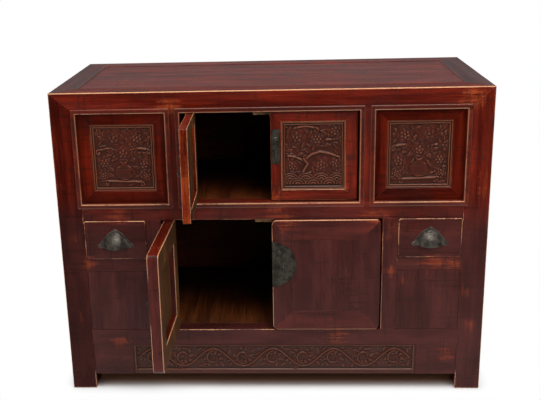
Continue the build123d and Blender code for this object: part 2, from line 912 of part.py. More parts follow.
def keep_stile(kind, side, leaf, bar_x):
    """Keeps one stile of a leaf: of full height, but mitred in its outer layer."""
    block(bar_x, about(0, 2 * kind.thickness), kind.z, mode=Mode.INTERSECT, base=leaf)
    with BuildSketch(front_face(kind, side, leaf)) as laps:
        frame_bars(kind.x, kind.z, kind.bar, (BOTTOM, TOP))
    extrude(laps.sketch, amount=side * kind.mitre_depth, mode=Mode.SUBTRACT)


def keep_rails(kind, side, leaf):
    """Keeps the two rails of a leaf, whose outer layer laps over the stiles in a mitre."""
    with BuildSketch(upright(leaf)) as bars:
        frame_bars(kind.x, kind.z, kind.bar, (BOTTOM, TOP))
    extrude(bars.sketch, amount=kind.thickness, both=True, mode=Mode.INTERSECT)
    behind = inward(side, kind.mitre_depth - kind.thickness / 2, kind.thickness)
    for bar_x in (kind.hinge_bar_x, kind.lock_bar_x):
        block(bar_x, behind, kind.z, mode=Mode.SUBTRACT, base=leaf)


def groove_y(kind, side, carved):
    """Limits across the leaf of the part of its panel that sits in the grooves."""
    if carved:
        front = -kind.thickness / 2 + carved_setback + carved_border_height
        return inward(side, front, front + carved_plate_thickness)
    front = -kind.thickness / 2 + door_panel_setback + door_panel_lip
    return inward(side, front, front + door_panel_tongue_thickness)


def groove_box(kind, side, carved):
    """Room of the edges of a door's panel, in the plane of the leaf."""
    return (grown(kind.x, panel_tongue - kind.bar), groove_y(kind, side, carved),
            grown(kind.z, panel_tongue - kind.bar))


def pivots(kind, leaf):
    """Adds the turned pins at the top and bottom of a hinge stile."""
    for end_z, length in ((kind.low, -bottom_pin_length), (kind.high, top_pin_length)):
        with BuildSketch(leaf.offset(end_z)) as pin:
            Circle(kind.pin_radius)
        extrude(pin.sketch, amount=length)


def dome(plane, place, radius, rise, sign):
    """Adds a domed stud head on a plane, which bulges along the plane's normal times the sign."""
    ball = (radius ** 2 + rise ** 2) / (2 * rise)
    centre = plane.from_local_coords((*place, 0))
    with BuildSketch(Plane(origin=centre, x_dir=plane.x_dir, z_dir=-plane.y_dir)) as profile:
        with BuildLine():
            Line((0, 0), (radius, 0))
            RadiusArc((radius, 0), (0, sign * rise), -sign * ball)
            Line((0, sign * rise), (0, 0))
        make_face()
    revolve(profile.sketch, axis=Axis(centre, plane.z_dir))


def make_plate(kind, iron, side, leaf, name):
    """The iron plate by a door's meeting edge, with its stud and its staple."""
    outward = -side
    face = front_face(kind, side, leaf)
    seat = face.offset(outward * (plate_thickness + plate_gap))
    edge = kind.x[1]
    stud = iron.stud_place(edge)
    legs = iron.leg_places(edge)
    with BuildPart() as plate:
        with BuildSketch(face):
            if iron.round_plate:
                with Locations((edge, iron.middle_z)):
                    Circle(round_plate_radius)
                    Rectangle(round_plate_radius, 2 * round_plate_radius,
                              align=(Align.MIN, Align.CENTER), mode=Mode.SUBTRACT)
            else:
                with Locations((edge - strip_plate_inset, iron.middle_z)):
                    RectangleRounded(strip_plate_width, strip_plate_length, strip_plate_corner,
                                     align=(Align.MAX, Align.CENTER))
            with Locations(stud):
                Circle(stud_shank_radius + plate_gap, mode=Mode.SUBTRACT)
            with Locations(*legs):
                Circle(staple_wire_radius + plate_gap, mode=Mode.SUBTRACT)
        extrude(amount=outward * plate_thickness)
        dome(seat, stud, stud_radius, stud_height, outward)
        with BuildSketch(seat):
            with Locations(stud):
                Circle(stud_shank_radius)
        extrude(amount=-outward * stud_shank_length)
        with BuildSketch(seat):
            with Locations(*legs):
                Circle(staple_wire_radius)
        extrude(amount=-outward * staple_leg_length)
        with BuildSketch(seat):
            with Locations(legs[1]):
                Circle(staple_wire_radius)
        middle = seat.from_local_coords((legs[0][0], sum(z for _, z in legs) / 2, 0))
        revolve(axis=Axis(middle, seat.x_dir), revolution_arc=180 * outward)
    save(plate, name)


def iron_holes(kind, iron, side, leaf):
    """Drills a stile for the shank of the stud and the legs of the staple."""
    edge = kind.x[1]
    with BuildSketch(front_face(kind, side, leaf)) as holes:
        with Locations(iron.stud_place(edge)):
            Circle(stud_shank_radius + plate_gap)
        with Locations(*iron.leg_places(edge)):
            Circle(staple_wire_radius + plate_gap)
    extrude(holes.sketch, amount=side * stud_shank_length, mode=Mode.SUBTRACT)


def make_door(kind, iron, side, angle, carved, name):
    """The five pieces of one door: two stiles, the rails, the panel and the iron plate."""
    tenon_y = about(0, door_tenon_thickness)
    tenons = frame_tenons(kind.x, kind.z, kind.bar, tenon_y)
    groove = groove_box(kind, side, carved)

    with BuildPart() as hinge_stile:
        leaf = leaf_blank(kind, side, angle)
        keep_stile(kind, side, leaf, kind.hinge_bar_x)
        pivots(kind, leaf)
        for tenon in tenons:
            mortise(tenon, base=leaf)
        mortise(groove, base=leaf)
    save(hinge_stile, f"{name}_hinge_stile")

    with BuildPart() as lock_stile:
        leaf = leaf_blank(kind, side, angle)
        keep_stile(kind, side, leaf, kind.lock_bar_x)
        for tenon in tenons:
            mortise(tenon, base=leaf)
        mortise(groove, base=leaf)
        iron_holes(kind, iron, side, leaf)
    save(lock_stile, f"{name}_lock_stile")

    with BuildPart() as rails:
        leaf = leaf_blank(kind, side, angle)
        keep_rails(kind, side, leaf)
        for tenon in tenons:
            block(*tenon, base=leaf)
        mortise(groove, base=leaf)
    save(rails, f"{name}_rails")

    plate_x, plate_y, plate_z = groove
    opening_x = grown(kind.x, -kind.bar)
    opening_z = grown(kind.z, -kind.bar)
    with BuildPart() as panel:
        if carved:
            carved_blank(upright(leaf), -side * (kind.thickness / 2 - carved_setback),
                         plate_x, plate_z, opening_x, opening_z, -side)
        else:
            front = -kind.thickness / 2 + door_panel_setback
            block(plate_x, plate_y, plate_z, base=leaf)
            block(grown(opening_x, -joint_gap), inward(side, front, front + door_panel_lip),
                  grown(opening_z, -joint_gap), base=leaf)
    save(panel, f"{name}_panel")

    make_plate(kind, iron, side, leaf, f"{name}_plate")


make_door(upper_door, strip_iron, LEFT, upper_open_angle, True, "upper_left_door")
make_door(upper_door, strip_iron, RIGHT, 0, True, "upper_right_door")
make_door(lower_door, round_iron, LEFT, lower_open_angle, False, "lower_left_door")
make_door(lower_door, round_iron, RIGHT, 0, False, "lower_right_door")


# ---------------------------------------------------------------- drawers

drawer_front_x = grown(drawer_bay_x, -drawer_gap)
drawer_front_z = grown(drawer_bay_z, -drawer_gap)
drawer_front_y = (drawer_face_y, drawer_face_y + drawer_front_thickness)
drawer_low = drawer_bay_z[0] + runner_gap
drawer_bottom_z = (drawer_low + drawer_bottom_rise,
                   drawer_low + drawer_bottom_rise + drawer_bottom_thickness)
drawer_inside_x = grown(drawer_front_x, -drawer_side_thickness)
drawer_lap_y = drawer_front_y[1] - drawer_lap
drawer_side_z = (drawer_low, drawer_low + drawer_side_height)
drawer_back_y = (drawer_end_y - drawer_back_thickness, drawer_end_y)
pull_x = sum(drawer_bay_x) / 2
cup_low = drawer_bay_z[0] + cup_rise


def drawer_bottom_box(side):
    """The bottom of a drawer, with its edges in the grooves of the front and the sides."""
    return (across(side, *grown(drawer_inside_x, drawer_groove)),
            (drawer_front_y[1] - drawer_groove, drawer_end_y), drawer_bottom_z)


def nail_places(side):
    """Places in x and z of a cup pull's three nails."""
    middle = side * pull_x
    return [(middle - ear_reach, cup_low + ear_rise), (middle + ear_reach, cup_low + ear_rise),
            (middle, cup_low + cup_height + cup_flange_width / 2)]


def turn_cup(x_middle, shrink, mode):
    """Half turns the rounded body of a cup pull about an upright axis behind the drawer's face."""
    radius = cup_radius - shrink
    rise = cup_height - shrink
    foot = (x_middle, drawer_face_y + cup_radius - cup_depth, cup_low)
    with BuildSketch(Plane(origin=foot, x_dir=(1, 0, 0), z_dir=(0, -1, 0))) as profile:
        with BuildLine():
            Line((0, 0), (radius, 0))
            ThreePointArc((radius, 0), (radius * cup_fullness, rise * cup_fullness), (0, rise))
            Line((0, rise), (0, 0))
        make_face()
    revolve(profile.sketch, axis=Axis(foot, (0, 0, 1)), revolution_arc=-180, mode=mode)


def make_drawer(side, name):
    """The five pieces of one drawer: front, sides, back, bottom and cup pull."""
    with BuildPart() as front:
        with BuildSketch(Plane.XZ.offset(-drawer_front_y[1])):
            with Locations((side * pull_x, sum(drawer_front_z) / 2)):
                RectangleRounded(drawer_front_x[1] - drawer_front_x[0],
                                 drawer_front_z[1] - drawer_front_z[0], drawer_corner_radius)
        extrude(amount=drawer_front_thickness)
        fillet(front.faces().sort_by(Axis.Y)[0].edges(), drawer_edge_radius)
        for side_x in ((drawer_front_x[0], drawer_inside_x[0]),
                       (drawer_inside_x[1], drawer_front_x[1])):
            mortise((across(side, *side_x), (drawer_lap_y, half_depth), drawer_side_z))
        mortise(drawer_bottom_box(side))
        with Locations(*((x, drawer_face_y, z) for x, z in nail_places(side))):
            Cylinder(pull_nail_radius + plate_gap, 2 * pull_nail_length, rotation=(90, 0, 0),
                     mode=Mode.SUBTRACT)
    save(front, f"{name}_front")

    with BuildPart() as sides:
        for side_x in ((drawer_front_x[0], drawer_inside_x[0]),
                       (drawer_inside_x[1], drawer_front_x[1])):
            block(across(side, *side_x), (drawer_lap_y, drawer_end_y), drawer_side_z)
        mortise(drawer_bottom_box(side))
    save(sides, f"{name}_sides")

    with BuildPart() as back:
        block(across(side, *drawer_inside_x), drawer_back_y,
              (drawer_bottom_z[1], drawer_side_z[1]))
    save(back, f"{name}_back")

    with BuildPart() as bottom:
        bottom_x, bottom_y, bottom_z = drawer_bottom_box(side)
        block(grown(bottom_x, -drawer_bottom_gap), bottom_y, bottom_z)
    save(bottom, f"{name}_bottom")

    with BuildPart() as pull:
        turn_cup(side * pull_x, 0, Mode.ADD)
        flange_plane = Plane.XZ.offset(-drawer_face_y)
        with BuildSketch(flange_plane):
            with Locations((side * pull_x, cup_low)):
                Ellipse(cup_radius + cup_flange_width, cup_height + cup_flange_width)
                Rectangle(drawer_bay_width, drawer_bay_height,
                          align=(Align.CENTER, Align.MAX), mode=Mode.SUBTRACT)
            with Locations(*nail_places(side)):
                Circle(ear_radius)
        extrude(amount=cup_flange_thickness)
        turn_cup(side * pull_x, cup_wall, Mode.SUBTRACT)
        block(across(side, *drawer_bay_x), (drawer_face_y, half_depth), drawer_bay_z,
              mode=Mode.SUBTRACT)
        with BuildSketch(flange_plane):
            with Locations(*nail_places(side)):
                Circle(pull_nail_radius + plate_gap)
        extrude(amount=cup_flange_thickness, mode=Mode.SUBTRACT)
        seat = flange_plane.offset(cup_flange_thickness + plate_gap)
        for place in nail_places(side):
            dome(seat, place, pull_nail_head_radius, pull_nail_head_height, 1)
            with BuildSketch(seat):
                with Locations(place):
                    Circle(pull_nail_radius)
            extrude(amount=-pull_nail_length)
    save(pull, f"{name}_pull")


make_drawer(LEFT, "left_drawer")
make_drawer(RIGHT, "right_drawer")
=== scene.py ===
import json
import math
import random

import bmesh
import bpy
import numpy as np
from mathutils import Matrix, Vector
from mathutils.bvhtree import BVHTree

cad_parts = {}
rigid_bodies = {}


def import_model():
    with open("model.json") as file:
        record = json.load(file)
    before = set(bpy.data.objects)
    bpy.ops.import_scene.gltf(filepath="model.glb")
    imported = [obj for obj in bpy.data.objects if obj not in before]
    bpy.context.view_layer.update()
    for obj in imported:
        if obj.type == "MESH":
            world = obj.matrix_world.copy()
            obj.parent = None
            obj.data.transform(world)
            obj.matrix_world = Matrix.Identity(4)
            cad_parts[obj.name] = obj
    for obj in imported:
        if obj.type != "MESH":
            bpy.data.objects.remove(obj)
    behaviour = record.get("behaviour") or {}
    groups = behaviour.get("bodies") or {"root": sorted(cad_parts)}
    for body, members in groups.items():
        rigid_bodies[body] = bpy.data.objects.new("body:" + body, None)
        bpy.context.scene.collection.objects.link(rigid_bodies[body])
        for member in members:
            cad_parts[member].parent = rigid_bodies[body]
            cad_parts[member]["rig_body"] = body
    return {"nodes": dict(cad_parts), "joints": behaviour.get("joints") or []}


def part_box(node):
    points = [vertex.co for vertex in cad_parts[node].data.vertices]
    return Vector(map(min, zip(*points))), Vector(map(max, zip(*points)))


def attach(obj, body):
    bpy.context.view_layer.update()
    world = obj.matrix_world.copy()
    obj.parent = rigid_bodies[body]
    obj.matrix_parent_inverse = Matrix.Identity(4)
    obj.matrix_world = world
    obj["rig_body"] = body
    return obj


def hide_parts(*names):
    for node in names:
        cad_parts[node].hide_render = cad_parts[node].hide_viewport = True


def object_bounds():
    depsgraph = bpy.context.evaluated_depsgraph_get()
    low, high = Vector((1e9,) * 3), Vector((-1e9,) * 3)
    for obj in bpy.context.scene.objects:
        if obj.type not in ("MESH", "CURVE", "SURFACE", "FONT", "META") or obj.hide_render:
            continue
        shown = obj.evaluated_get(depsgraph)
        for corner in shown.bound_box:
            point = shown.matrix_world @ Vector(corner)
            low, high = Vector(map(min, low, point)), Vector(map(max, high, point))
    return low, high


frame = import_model()
cad_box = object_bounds()

mm = 0.001
LEFT, RIGHT = -1, 1
X_AXIS, Y_AXIS, Z_AXIS = Vector((1, 0, 0)), Vector((0, 1, 0)), Vector((0, 0, 1))
square_signs = ((-1, -1), (1, -1), (1, 1), (-1, 1))

# ---------------------------------------------------------------- sizes, in metres

# Places that the frame gives
front_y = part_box("mid_rail")[0].y
upper_bay_z = (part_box("mid_rail")[1].z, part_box("top_rail_front")[0].z)
post_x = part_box("post_front_right")[0].x
upper_stile_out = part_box("upper_stiles")[1].x

# Mouldings round the three upper openings
upper_stile_width = 36 * mm
bead_width = 10.5 * mm
bead_rise = 2.0 * mm
bead_lip = 0.6 * mm
bead_reach = 7 * mm
bead_sunk = 0.8 * mm
bead_inset = 0.3 * mm
bead_steps = 12
# How pale the bead's lines are on each side: partly wear and partly painted highlight.
bead_paleness = (0.9, 0.45, 0.6, 0.40)      # below, right, above, left
bead_crease = math.radians(40)

# Rounding of the arrises
carcass_round = 1.5 * mm
top_round = 2.2 * mm
door_round = 1.9 * mm
upper_door_round = 1.1 * mm
panel_round = 0.9 * mm
iron_round = 0.5 * mm
round_segments = 3
joint_share = 0.16              # of the rounding, where two members meet
side_rubbing = 0.62             # how bare an arris is that doesn't look up
looking_up = 0.3
worn_curve = (-0.97, -0.12)     # how far to the front a curve looks that is worn
edge_piece = 14 * mm
smooth_angle = math.radians(38)

# What counts as meeting another member
touching = 0.6 * mm
quiet_gap = 2.4 * mm
beside_share = 0.52
ray_start = 0.3 * mm
open_air = 4 * mm

# Door leaves and flush panels
upper_leaf_corner = 5 * mm
lower_leaf_corner = 14 * mm
upper_leaf_widening = 4 * mm
hinge_edge_round = 9 * mm
arc_cuts = (0.35, 0.65, 1.0)
panel_flare = 1.2 * mm

# Ironwork
cup_radius = 36 * mm
cup_height = 40 * mm
ear_drop = 2 * mm
rim_thickness = 1.5 * mm
rim_share = 0.93
rim_blend = 5 * mm
shoulder_drop = 0.10
cup_roundness = 0.65
cup_narrowing = 0.11
iron_proud = 0.2 * mm

# Carving
carve_step = 0.9 * mm
fixed_bar = 38 * mm
panel_edge = 8 * mm
plate_thickness = 7 * mm
ground_rise = 1.0 * mm
apron_step = 1.1 * mm
apron_bead_low = 12 * mm
apron_bead_high = 5 * mm
apron_ground = 4.6 * mm

# ---------------------------------------------------------------- camera, light and floor

camera_place = Vector((39.0, -2264.0, 1150.4)) * mm
camera_yaw = 0.05666
camera_pitch = 0.29453
camera_roll = -0.02719
sensor = 36.0
picture_width = 541
focal_pixels = 865.06
view_shift = (30.93 / picture_width, -6.55 / picture_width)
backdrop_light = 0.19
room_light = 0.045
floor_half = 30
# How brightly the floor glows for glossy rays near the cabinet: a painted reflection of a lit
# floor.
floor_glow_in_gloss = 0.80
white = (1, 1, 1)


def show(name, data):
    """A new object in the scene."""
    shown = bpy.data.objects.new(name, data)
    bpy.context.scene.collection.objects.link(shown)
    return shown


def make_camera():
    """The camera of the reference view, turned by its yaw, pitch and roll."""
    data = bpy.data.cameras.new("camera")
    data.sensor_width = sensor
    data.lens = focal_pixels / picture_width * sensor
    data.shift_x, data.shift_y = view_shift
    data.clip_start, data.clip_end = 0.05, 50
    camera = show("camera", data)
    camera.matrix_world = (Matrix.Translation(camera_place) @ Matrix.Rotation(camera_yaw, 4, "Z")
                           @ Matrix.Rotation(math.pi / 2 - camera_pitch, 4, "X")
                           @ Matrix.Rotation(camera_roll, 4, "Z"))
    bpy.context.scene.camera = camera


def area_light(name, place, target, size, power, mirrored):
    """A square soft box that points at a target; mirrored says whether gloss shows it."""
    data = bpy.data.lights.new(name, "AREA")
    data.shape = "SQUARE"
    data.size = size
    data.energy = power
    lamp = show(name, data)
    lamp.visible_glossy = mirrored
    lamp.location = place
    lamp.rotation_euler = (Vector(target) - Vector(place)).to_track_quat("-Z", "Y").to_euler()


class Shader:
    """Adds nodes to one node tree and links them. Colours are given as red, green and blue."""

    def __init__(self, tree):
        self.tree = tree

    def add(self, kind, inputs=None, **settings):
        node = self.tree.nodes.new("ShaderNode" + kind)
        for name, value in settings.items():
            setattr(node, name, value)
        for name, value in (inputs or {}).items():
            self.feed(node.inputs[name], value)
        return node

    def feed(self, socket, value):
        if isinstance(value, bpy.types.NodeSocket):
            self.tree.links.new(value, socket)
        else:
            socket.default_value = (*value, 1.0) if socket.type == "RGBA" else value

    def math(self, operation, *values, clamp=False):
        return self.add("Math", dict(enumerate(values)), operation=operation,
                        use_clamp=clamp).outputs[0]

    def times(self, first, second):
        return self.math("MULTIPLY", first, second)

    def weighed(self, value, share, rest):
        """A value times its share, and the rest."""
        return self.math("MULTIPLY_ADD", value, share, rest)

    def vector(self, operation, *values, out=0):
        return self.add("VectorMath", dict(enumerate(values)), operation=operation).outputs[out]

    def axes(self, place):
        return self.add("SeparateXYZ", {0: place}).outputs

    def noise(self, place, scale, detail, roughness=0.6, distortion=0.0):
        return self.add("TexNoise", {
            "Vector": place, "Scale": scale, "Detail": detail, "Roughness": roughness,
            "Distortion": distortion}).outputs["Fac"]

    def fit(self, value, low, high, to_low=0.0, to_high=1.0):
        """Maps a value smoothly from one range to another, and holds it inside."""
        return self.add("MapRange", {
            "Value": value, "From Min": low, "From Max": high, "To Min": to_low,
            "To Max": to_high}, interpolation_type="SMOOTHSTEP", clamp=True).outputs["Result"]

    def mix(self, factor, first, second, blend="MIX"):
        node = self.add("Mix", data_type="RGBA", blend_type=blend)
        for socket, value in zip((node.inputs[0], node.inputs[6], node.inputs[7]),
                                 (factor, first, second)):
            self.feed(socket, value)
        return node.outputs[2]

    def dimmed(self, colour, share):
        """A colour times a value."""
        grey = self.add("CombineXYZ", {0: share, 1: share, 2: share}).outputs[0]
        return self.mix(1.0, colour, grey, blend="MULTIPLY")


def emptied(owner):
    """A shader for the empty tree of a material or a world."""
    owner.use_nodes = True
    owner.node_tree.nodes.clear()
    return Shader(owner.node_tree)


def make_world():
    """White where it is seen; as light, a pale backdrop behind and a dim room in front."""
    world = bpy.data.worlds.new("studio")
    bpy.context.scene.world = world
    s = emptied(world)
    rays = s.add("LightPath").outputs
    seen = s.math("MAXIMUM", rays["Is Camera Ray"], rays["Is Transmission Ray"])
    towards = s.axes(s.add("TexCoord").outputs["Generated"])["Y"]
    light = s.fit(towards, -0.2, 0.7, room_light, backdrop_light)
    strength = s.math("MAXIMUM", seen, light)
    background = s.add("Background", {"Color": white, "Strength": strength})
    s.add("OutputWorld", {"Surface": background.outputs[0]})


def make_floor():
    """A wide pale floor that shows as white round the soft shadow, which is partly real and partly
    a dark brown shadow colour painted under the cabinet; for glossy rays it glows as a painted
    reflection, except under the cabinet.
    """
    mesh = bpy.data.meshes.new("floor")
    mesh.from_pydata([(x * floor_half, y * floor_half, 0) for x, y in square_signs], [],
                     [(0, 1, 2, 3)])
    floor = show("floor", mesh)
    material = bpy.data.materials.new("pale_floor")
    s = emptied(material)
    apart = s.axes(s.add("NewGeometry").outputs["Position"])
    beyond = [s.math("SUBTRACT", s.math("ABSOLUTE", apart[axis]), cad_box[1][axis])
              for axis in (0, 1)]
    away = s.math("MAXIMUM", *beyond)
    rays = s.add("LightPath").outputs
    # Painted shadow: under the cabinet the floor takes a dark brown shadow colour, which fades out
    # just beyond its edge.
    under = s.fit(away, -55 * mm, 20 * mm)
    matt = s.add("BsdfDiffuse", {
        "Color": s.mix(under, (0.172, 0.080, 0.044), (0.86, 0.86, 0.86))})
    clear = s.times(s.fit(away, -30 * mm, 40 * mm), rays["Is Camera Ray"])
    # Painted reflection: for glossy rays the floor glows, brightest near the cabinet, and the
    # painted shadow mask darkens it under the cabinet.
    dim = s.times(s.fit(away, 0.1, 1.3, floor_glow_in_gloss, 0.02), under)
    strength = s.math("MAXIMUM", rays["Is Camera Ray"], dim)
    bright = s.add("Emission", {"Color": white, "Strength": strength})
    share = s.math("MAXIMUM", clear, rays["Is Glossy Ray"])
    mixed = s.add("MixShader", {0: share, 1: matt.outputs[0], 2: bright.outputs[0]})
    s.add("OutputMaterial", {"Surface": mixed.outputs[0]})
    mesh.materials.append(material)


def make_studio():
    bpy.context.scene.view_settings.view_transform = "Standard"
    make_camera()
    make_world()
    make_floor()
    middle = (0, 0, 0.4)
    area_light("key_box", (1.5, -3.0, 2.6), middle, 2.4, 96, False)
    area_light("fill_box", (-2.4, -2.6, 1.7), middle, 2.4, 58, False)
    area_light("top_box", (0.2, -0.9, 3.3), (0, 0, 0.7), 1.8, 80, True)
    area_light("back_box", (-1.0, 2.9, 2.1), middle, 2.4, 62, False)


# ---------------------------------------------------------------- shader groups

def new_group(name, inputs, outputs):
    """An empty shader group; inputs give a kind and a default, outputs a kind."""
    tree = bpy.data.node_groups.new(name, "ShaderNodeTree")
    for socket, (kind, default) in inputs.items():
        made = tree.interface.new_socket(socket, in_out="INPUT", socket_type=f"NodeSocket{kind}")
        if default is not None:
            made.default_value = default
    for socket, kind in outputs.items():
        tree.interface.new_socket(socket, in_out="OUTPUT", socket_type=f"NodeSocket{kind}")
    given, result = (tree.nodes.new(f"NodeGroup{end}") for end in ("Input", "Output"))
    return tree, Shader(tree), given.outputs, result.inputs


def wood_grain_group():
    """Long streaks and pores of wood; Stretch is small along the grain and 1 across it."""
    tree, s, given, result = new_group(
        "wood_grain", {"Place": ("Vector", None), "Stretch": ("Vector", white)},
        {"Streaks": "Float", "Pores": "Float"})
    stretched = s.vector("MULTIPLY", given["Place"], given["Stretch"])
    broad = s.noise(stretched, 42, 3, distortion=0.6)
    fine = s.noise(stretched, 260, 4, roughness=0.7)
    pores = s.noise(stretched, 900, 2)
    streaks = s.math("ADD", s.times(broad, 0.62), s.times(fine, 0.38))
    s.feed(result["Streaks"], s.fit(streaks, 0.34, 0.66))
    s.feed(result["Pores"], s.fit(pores, 0.52, 0.68))
    return tree


# Places on the front that hands and knocks have rubbed: x, z and radius
rubbed_places = (
    (-0.38, 0.482, 0.050), (0.292, 0.420, 0.035), (0.292, 0.330, 0.030), (0.450, 0.340, 0.045),
    (0.330, 0.300, 0.025), (0.485, 0.270, 0.035), (-0.300, 0.125, 0.050), (-0.495, 0.420, 0.035),
    (-0.495, 0.200, 0.035), (0.500, 0.180, 0.035), (-0.290, 0.250, 0.030), (-0.515, 0.560, 0.034),
    (0.40, 0.350, 0.055), (0.30, 0.440, 0.040), (0.505, 0.540, 0.080), (0.48, 0.760, 0.075),
    (-0.24, 0.765, 0.060), (0.02, 0.482, 0.090), (0.26, 0.490, 0.080), (0.16, 0.140, 0.060),
    (-0.40, 0.130, 0.050), (0.44, 0.095, 0.050), (-0.46, 0.350, 0.045),
)


def rubbed_group():
    """A mask that is 1 where the lacquer is rubbed through, broken up by a fine noise."""
    tree, s, given, result = new_group(
        "rubbed_through", {"Place": ("Vector", None), "Stretch": ("Vector", white),
                           "Wear": ("Float", 0.3)}, {"Mask": "Float"})
    stretched = s.vector("MULTIPLY", given["Place"], given["Stretch"])
    spots = 0.0
    for x, z, radius in rubbed_places:
        away = s.vector("DISTANCE", given["Place"], (x, front_y, z), out=1)
        spots = s.math("MAXIMUM", s.fit(away, radius, 0), spots)
    patches = s.noise(given["Place"], 16, 5, roughness=0.65)
    crumbs = s.noise(stretched, 130, 4, roughness=0.7)
    specks = s.noise(given["Place"], 210, 3)
    wear = s.math("ADD", s.times(spots, 0.38), given["Wear"])
    level = s.weighed(crumbs, 0.60, s.times(patches, 0.50))
    level = s.weighed(specks, 0.20, level)
    threshold = s.math("SUBTRACT", 0.98, s.times(wear, 0.55))
    worn = s.math("SUBTRACT", level, threshold)
    s.feed(result["Mask"], s.fit(worn, -0.04, 0.17))
    return tree


def aged_lacquer_group(grain, rubbed):
    """Colour, roughness and height of old lacquer, brown-purple below and red above."""
    tree, s, given, result = new_group(
        "aged_lacquer",
        {"Place": ("Vector", None), "Stretch": ("Vector", white), "Wear": ("Float", 0.3),
         "Redness": ("Float", 0.0), "Light": ("Float", 1.0)},
        {"Color": "Color", "Roughness": "Float", "Height": "Float"})
    place, stretch = given["Place"], given["Stretch"]
    wood = s.add("Group", node_tree=grain)
    rub = s.add("Group", node_tree=rubbed)
    for node, labels in ((wood, ("Place", "Stretch")), (rub, ("Place", "Stretch", "Wear"))):
        for label in labels:
            s.feed(node.inputs[label], given[label])
    streaks, pores = wood.outputs["Streaks"], wood.outputs["Pores"]
    worn = rub.outputs["Mask"]

    clouds = s.noise(place, 7, 3)
    lifted = s.weighed(clouds, 0.16, s.math("SUBTRACT", s.axes(place)["Z"], 0.08))
    upper = s.math("ADD", s.fit(lifted, 0.42, 0.56), given["Redness"], clamp=True)

    low_tone = s.mix(streaks, (0.042, 0.0092, 0.0080), (0.060, 0.0128, 0.0098))
    high_tone = s.mix(streaks, (0.046, 0.0027, 0.0010), (0.134, 0.0100, 0.0026))
    purple = s.fit(s.noise(place, 11, 4), 0.50, 0.72, 0.0, 0.45)
    tone = s.mix(purple, s.mix(upper, low_tone, high_tone), (0.040, 0.0085, 0.0070))
    rubbed_tone = s.mix(upper, (0.185, 0.029, 0.009), (0.240, 0.036, 0.006))
    colour = s.mix(s.times(worn, 0.85), tone, rubbed_tone)
    colour = s.mix(s.times(pores, 0.35), colour, (0.012, 0.005, 0.004))

    across = s.vector("SUBTRACT", (1.06, 1.06, 1.06), stretch)
    crossing = s.noise(s.vector("MULTIPLY", place, across), 120, 4)
    cracked = s.fit(s.noise(place, 16, 3), 0.42, 0.60)
    cracks = s.times(s.fit(crossing, 0.53, 0.62), cracked)
    colour = s.mix(s.times(cracks, 0.48), colour, (0.016, 0.006, 0.004))

    half_stretched = s.vector("POWER", stretch, (0.4, 0.4, 0.4))
    blotches = s.noise(s.vector("MULTIPLY", place, half_stretched), 26, 5)
    colour = s.dimmed(colour, s.fit(blotches, 0.34, 0.66, 0.76, 1.22))
    s.feed(result["Color"], s.dimmed(colour, given["Light"]))
    smears = s.noise(s.vector("MULTIPLY", place, stretch), 55, 4)
    s.feed(result["Roughness"], s.math("ADD", s.fit(smears, 0.3, 0.7, 0.24, 0.39),
                                       s.times(worn, 0.14)))
    relief = s.weighed(streaks, 0.5, s.times(pores, -0.35))
    relief = s.weighed(cracks, -0.4, relief)
    s.feed(result["Height"], s.math("SUBTRACT", relief, s.times(worn, 0.6)))
    return tree


grain = wood_grain_group()
aged_lacquer = aged_lacquer_group(grain, rubbed_group())

ALONG = {"x": (0.045, 1, 1), "y": (1, 0.045, 1), "z": (1, 1, 0.045)}


# ---------------------------------------------------------------- materials

def new_material(name, settings=None):
    """A material with its shader's settings, and the object's own coordinates."""
    material = bpy.data.materials.new(name)
    s = emptied(material)
    surface = s.add("BsdfPrincipled", settings)
    s.add("OutputMaterial", {"Surface": surface.outputs[0]})
    return material, s, surface, s.add("TexCoord").outputs["Object"]


def dress(s, surface, colour, roughness, height, depth):
    """Feeds a shader its colour and roughness, and bumps of a depth in metres."""
    bump = s.add("Bump", {"Height": height, "Distance": depth, "Strength": 1.0})
    for label, value in (("Base Color", colour), ("Roughness", roughness),
                         ("Normal", bump.outputs[0])):
        s.feed(surface.inputs[label], value)


def skin_of(s, place, stretch, wear, redness, light):
    """The outputs of the aged lacquer."""
    return s.add("Group", {"Place": place, "Stretch": stretch, "Wear": wear, "Redness": redness,
                           "Light": light}, node_tree=aged_lacquer).outputs


def lacquer(name, along, wear=0.30, redness=0.0, light=1.0, gloss=0.2, coat=0.0):
    """Old lacquer on a member whose grain runs along x, y or z."""
    material, s, surface, place = new_material(name, {
        "Specular IOR Level": gloss, "Coat Weight": coat, "Coat Roughness": 0.22})
    skin = skin_of(s, place, ALONG[along], wear, redness, light)
    dress(s, surface, skin["Color"], skin["Roughness"], skin["Height"], 0.35 * mm)
    return material


def arris(name, pale, wear=0.55, light=1.0):
    """A rounded corner where the lacquer has worn down to the ground coat and the wood; on the
    mouldings the pale line is partly painted highlight as well.
    """
    material, s, surface, place = new_material(name)
    skin = skin_of(s, place, ALONG["x"], wear, 0.3, light)
    long_breaks = s.noise(place, 13, 4, roughness=0.6)
    chips = s.noise(place, 170, 3)
    level = s.weighed(chips, 0.35, s.times(long_breaks, 0.65))
    bare = s.fit(level, 0.62 - 0.34 * pale, 0.78 - 0.34 * pale)
    paleness = s.add("Attribute", attribute_name="paleness").outputs["Fac"]
    bare = s.times(bare, paleness)
    wood = s.mix(chips, (0.34, 0.135, 0.056), (0.68, 0.355, 0.185))
    dress(s, surface, s.mix(bare, skin["Color"], wood), s.fit(bare, 0, 1, 0.38, 0.55), chips,
          0.2 * mm)
    return material


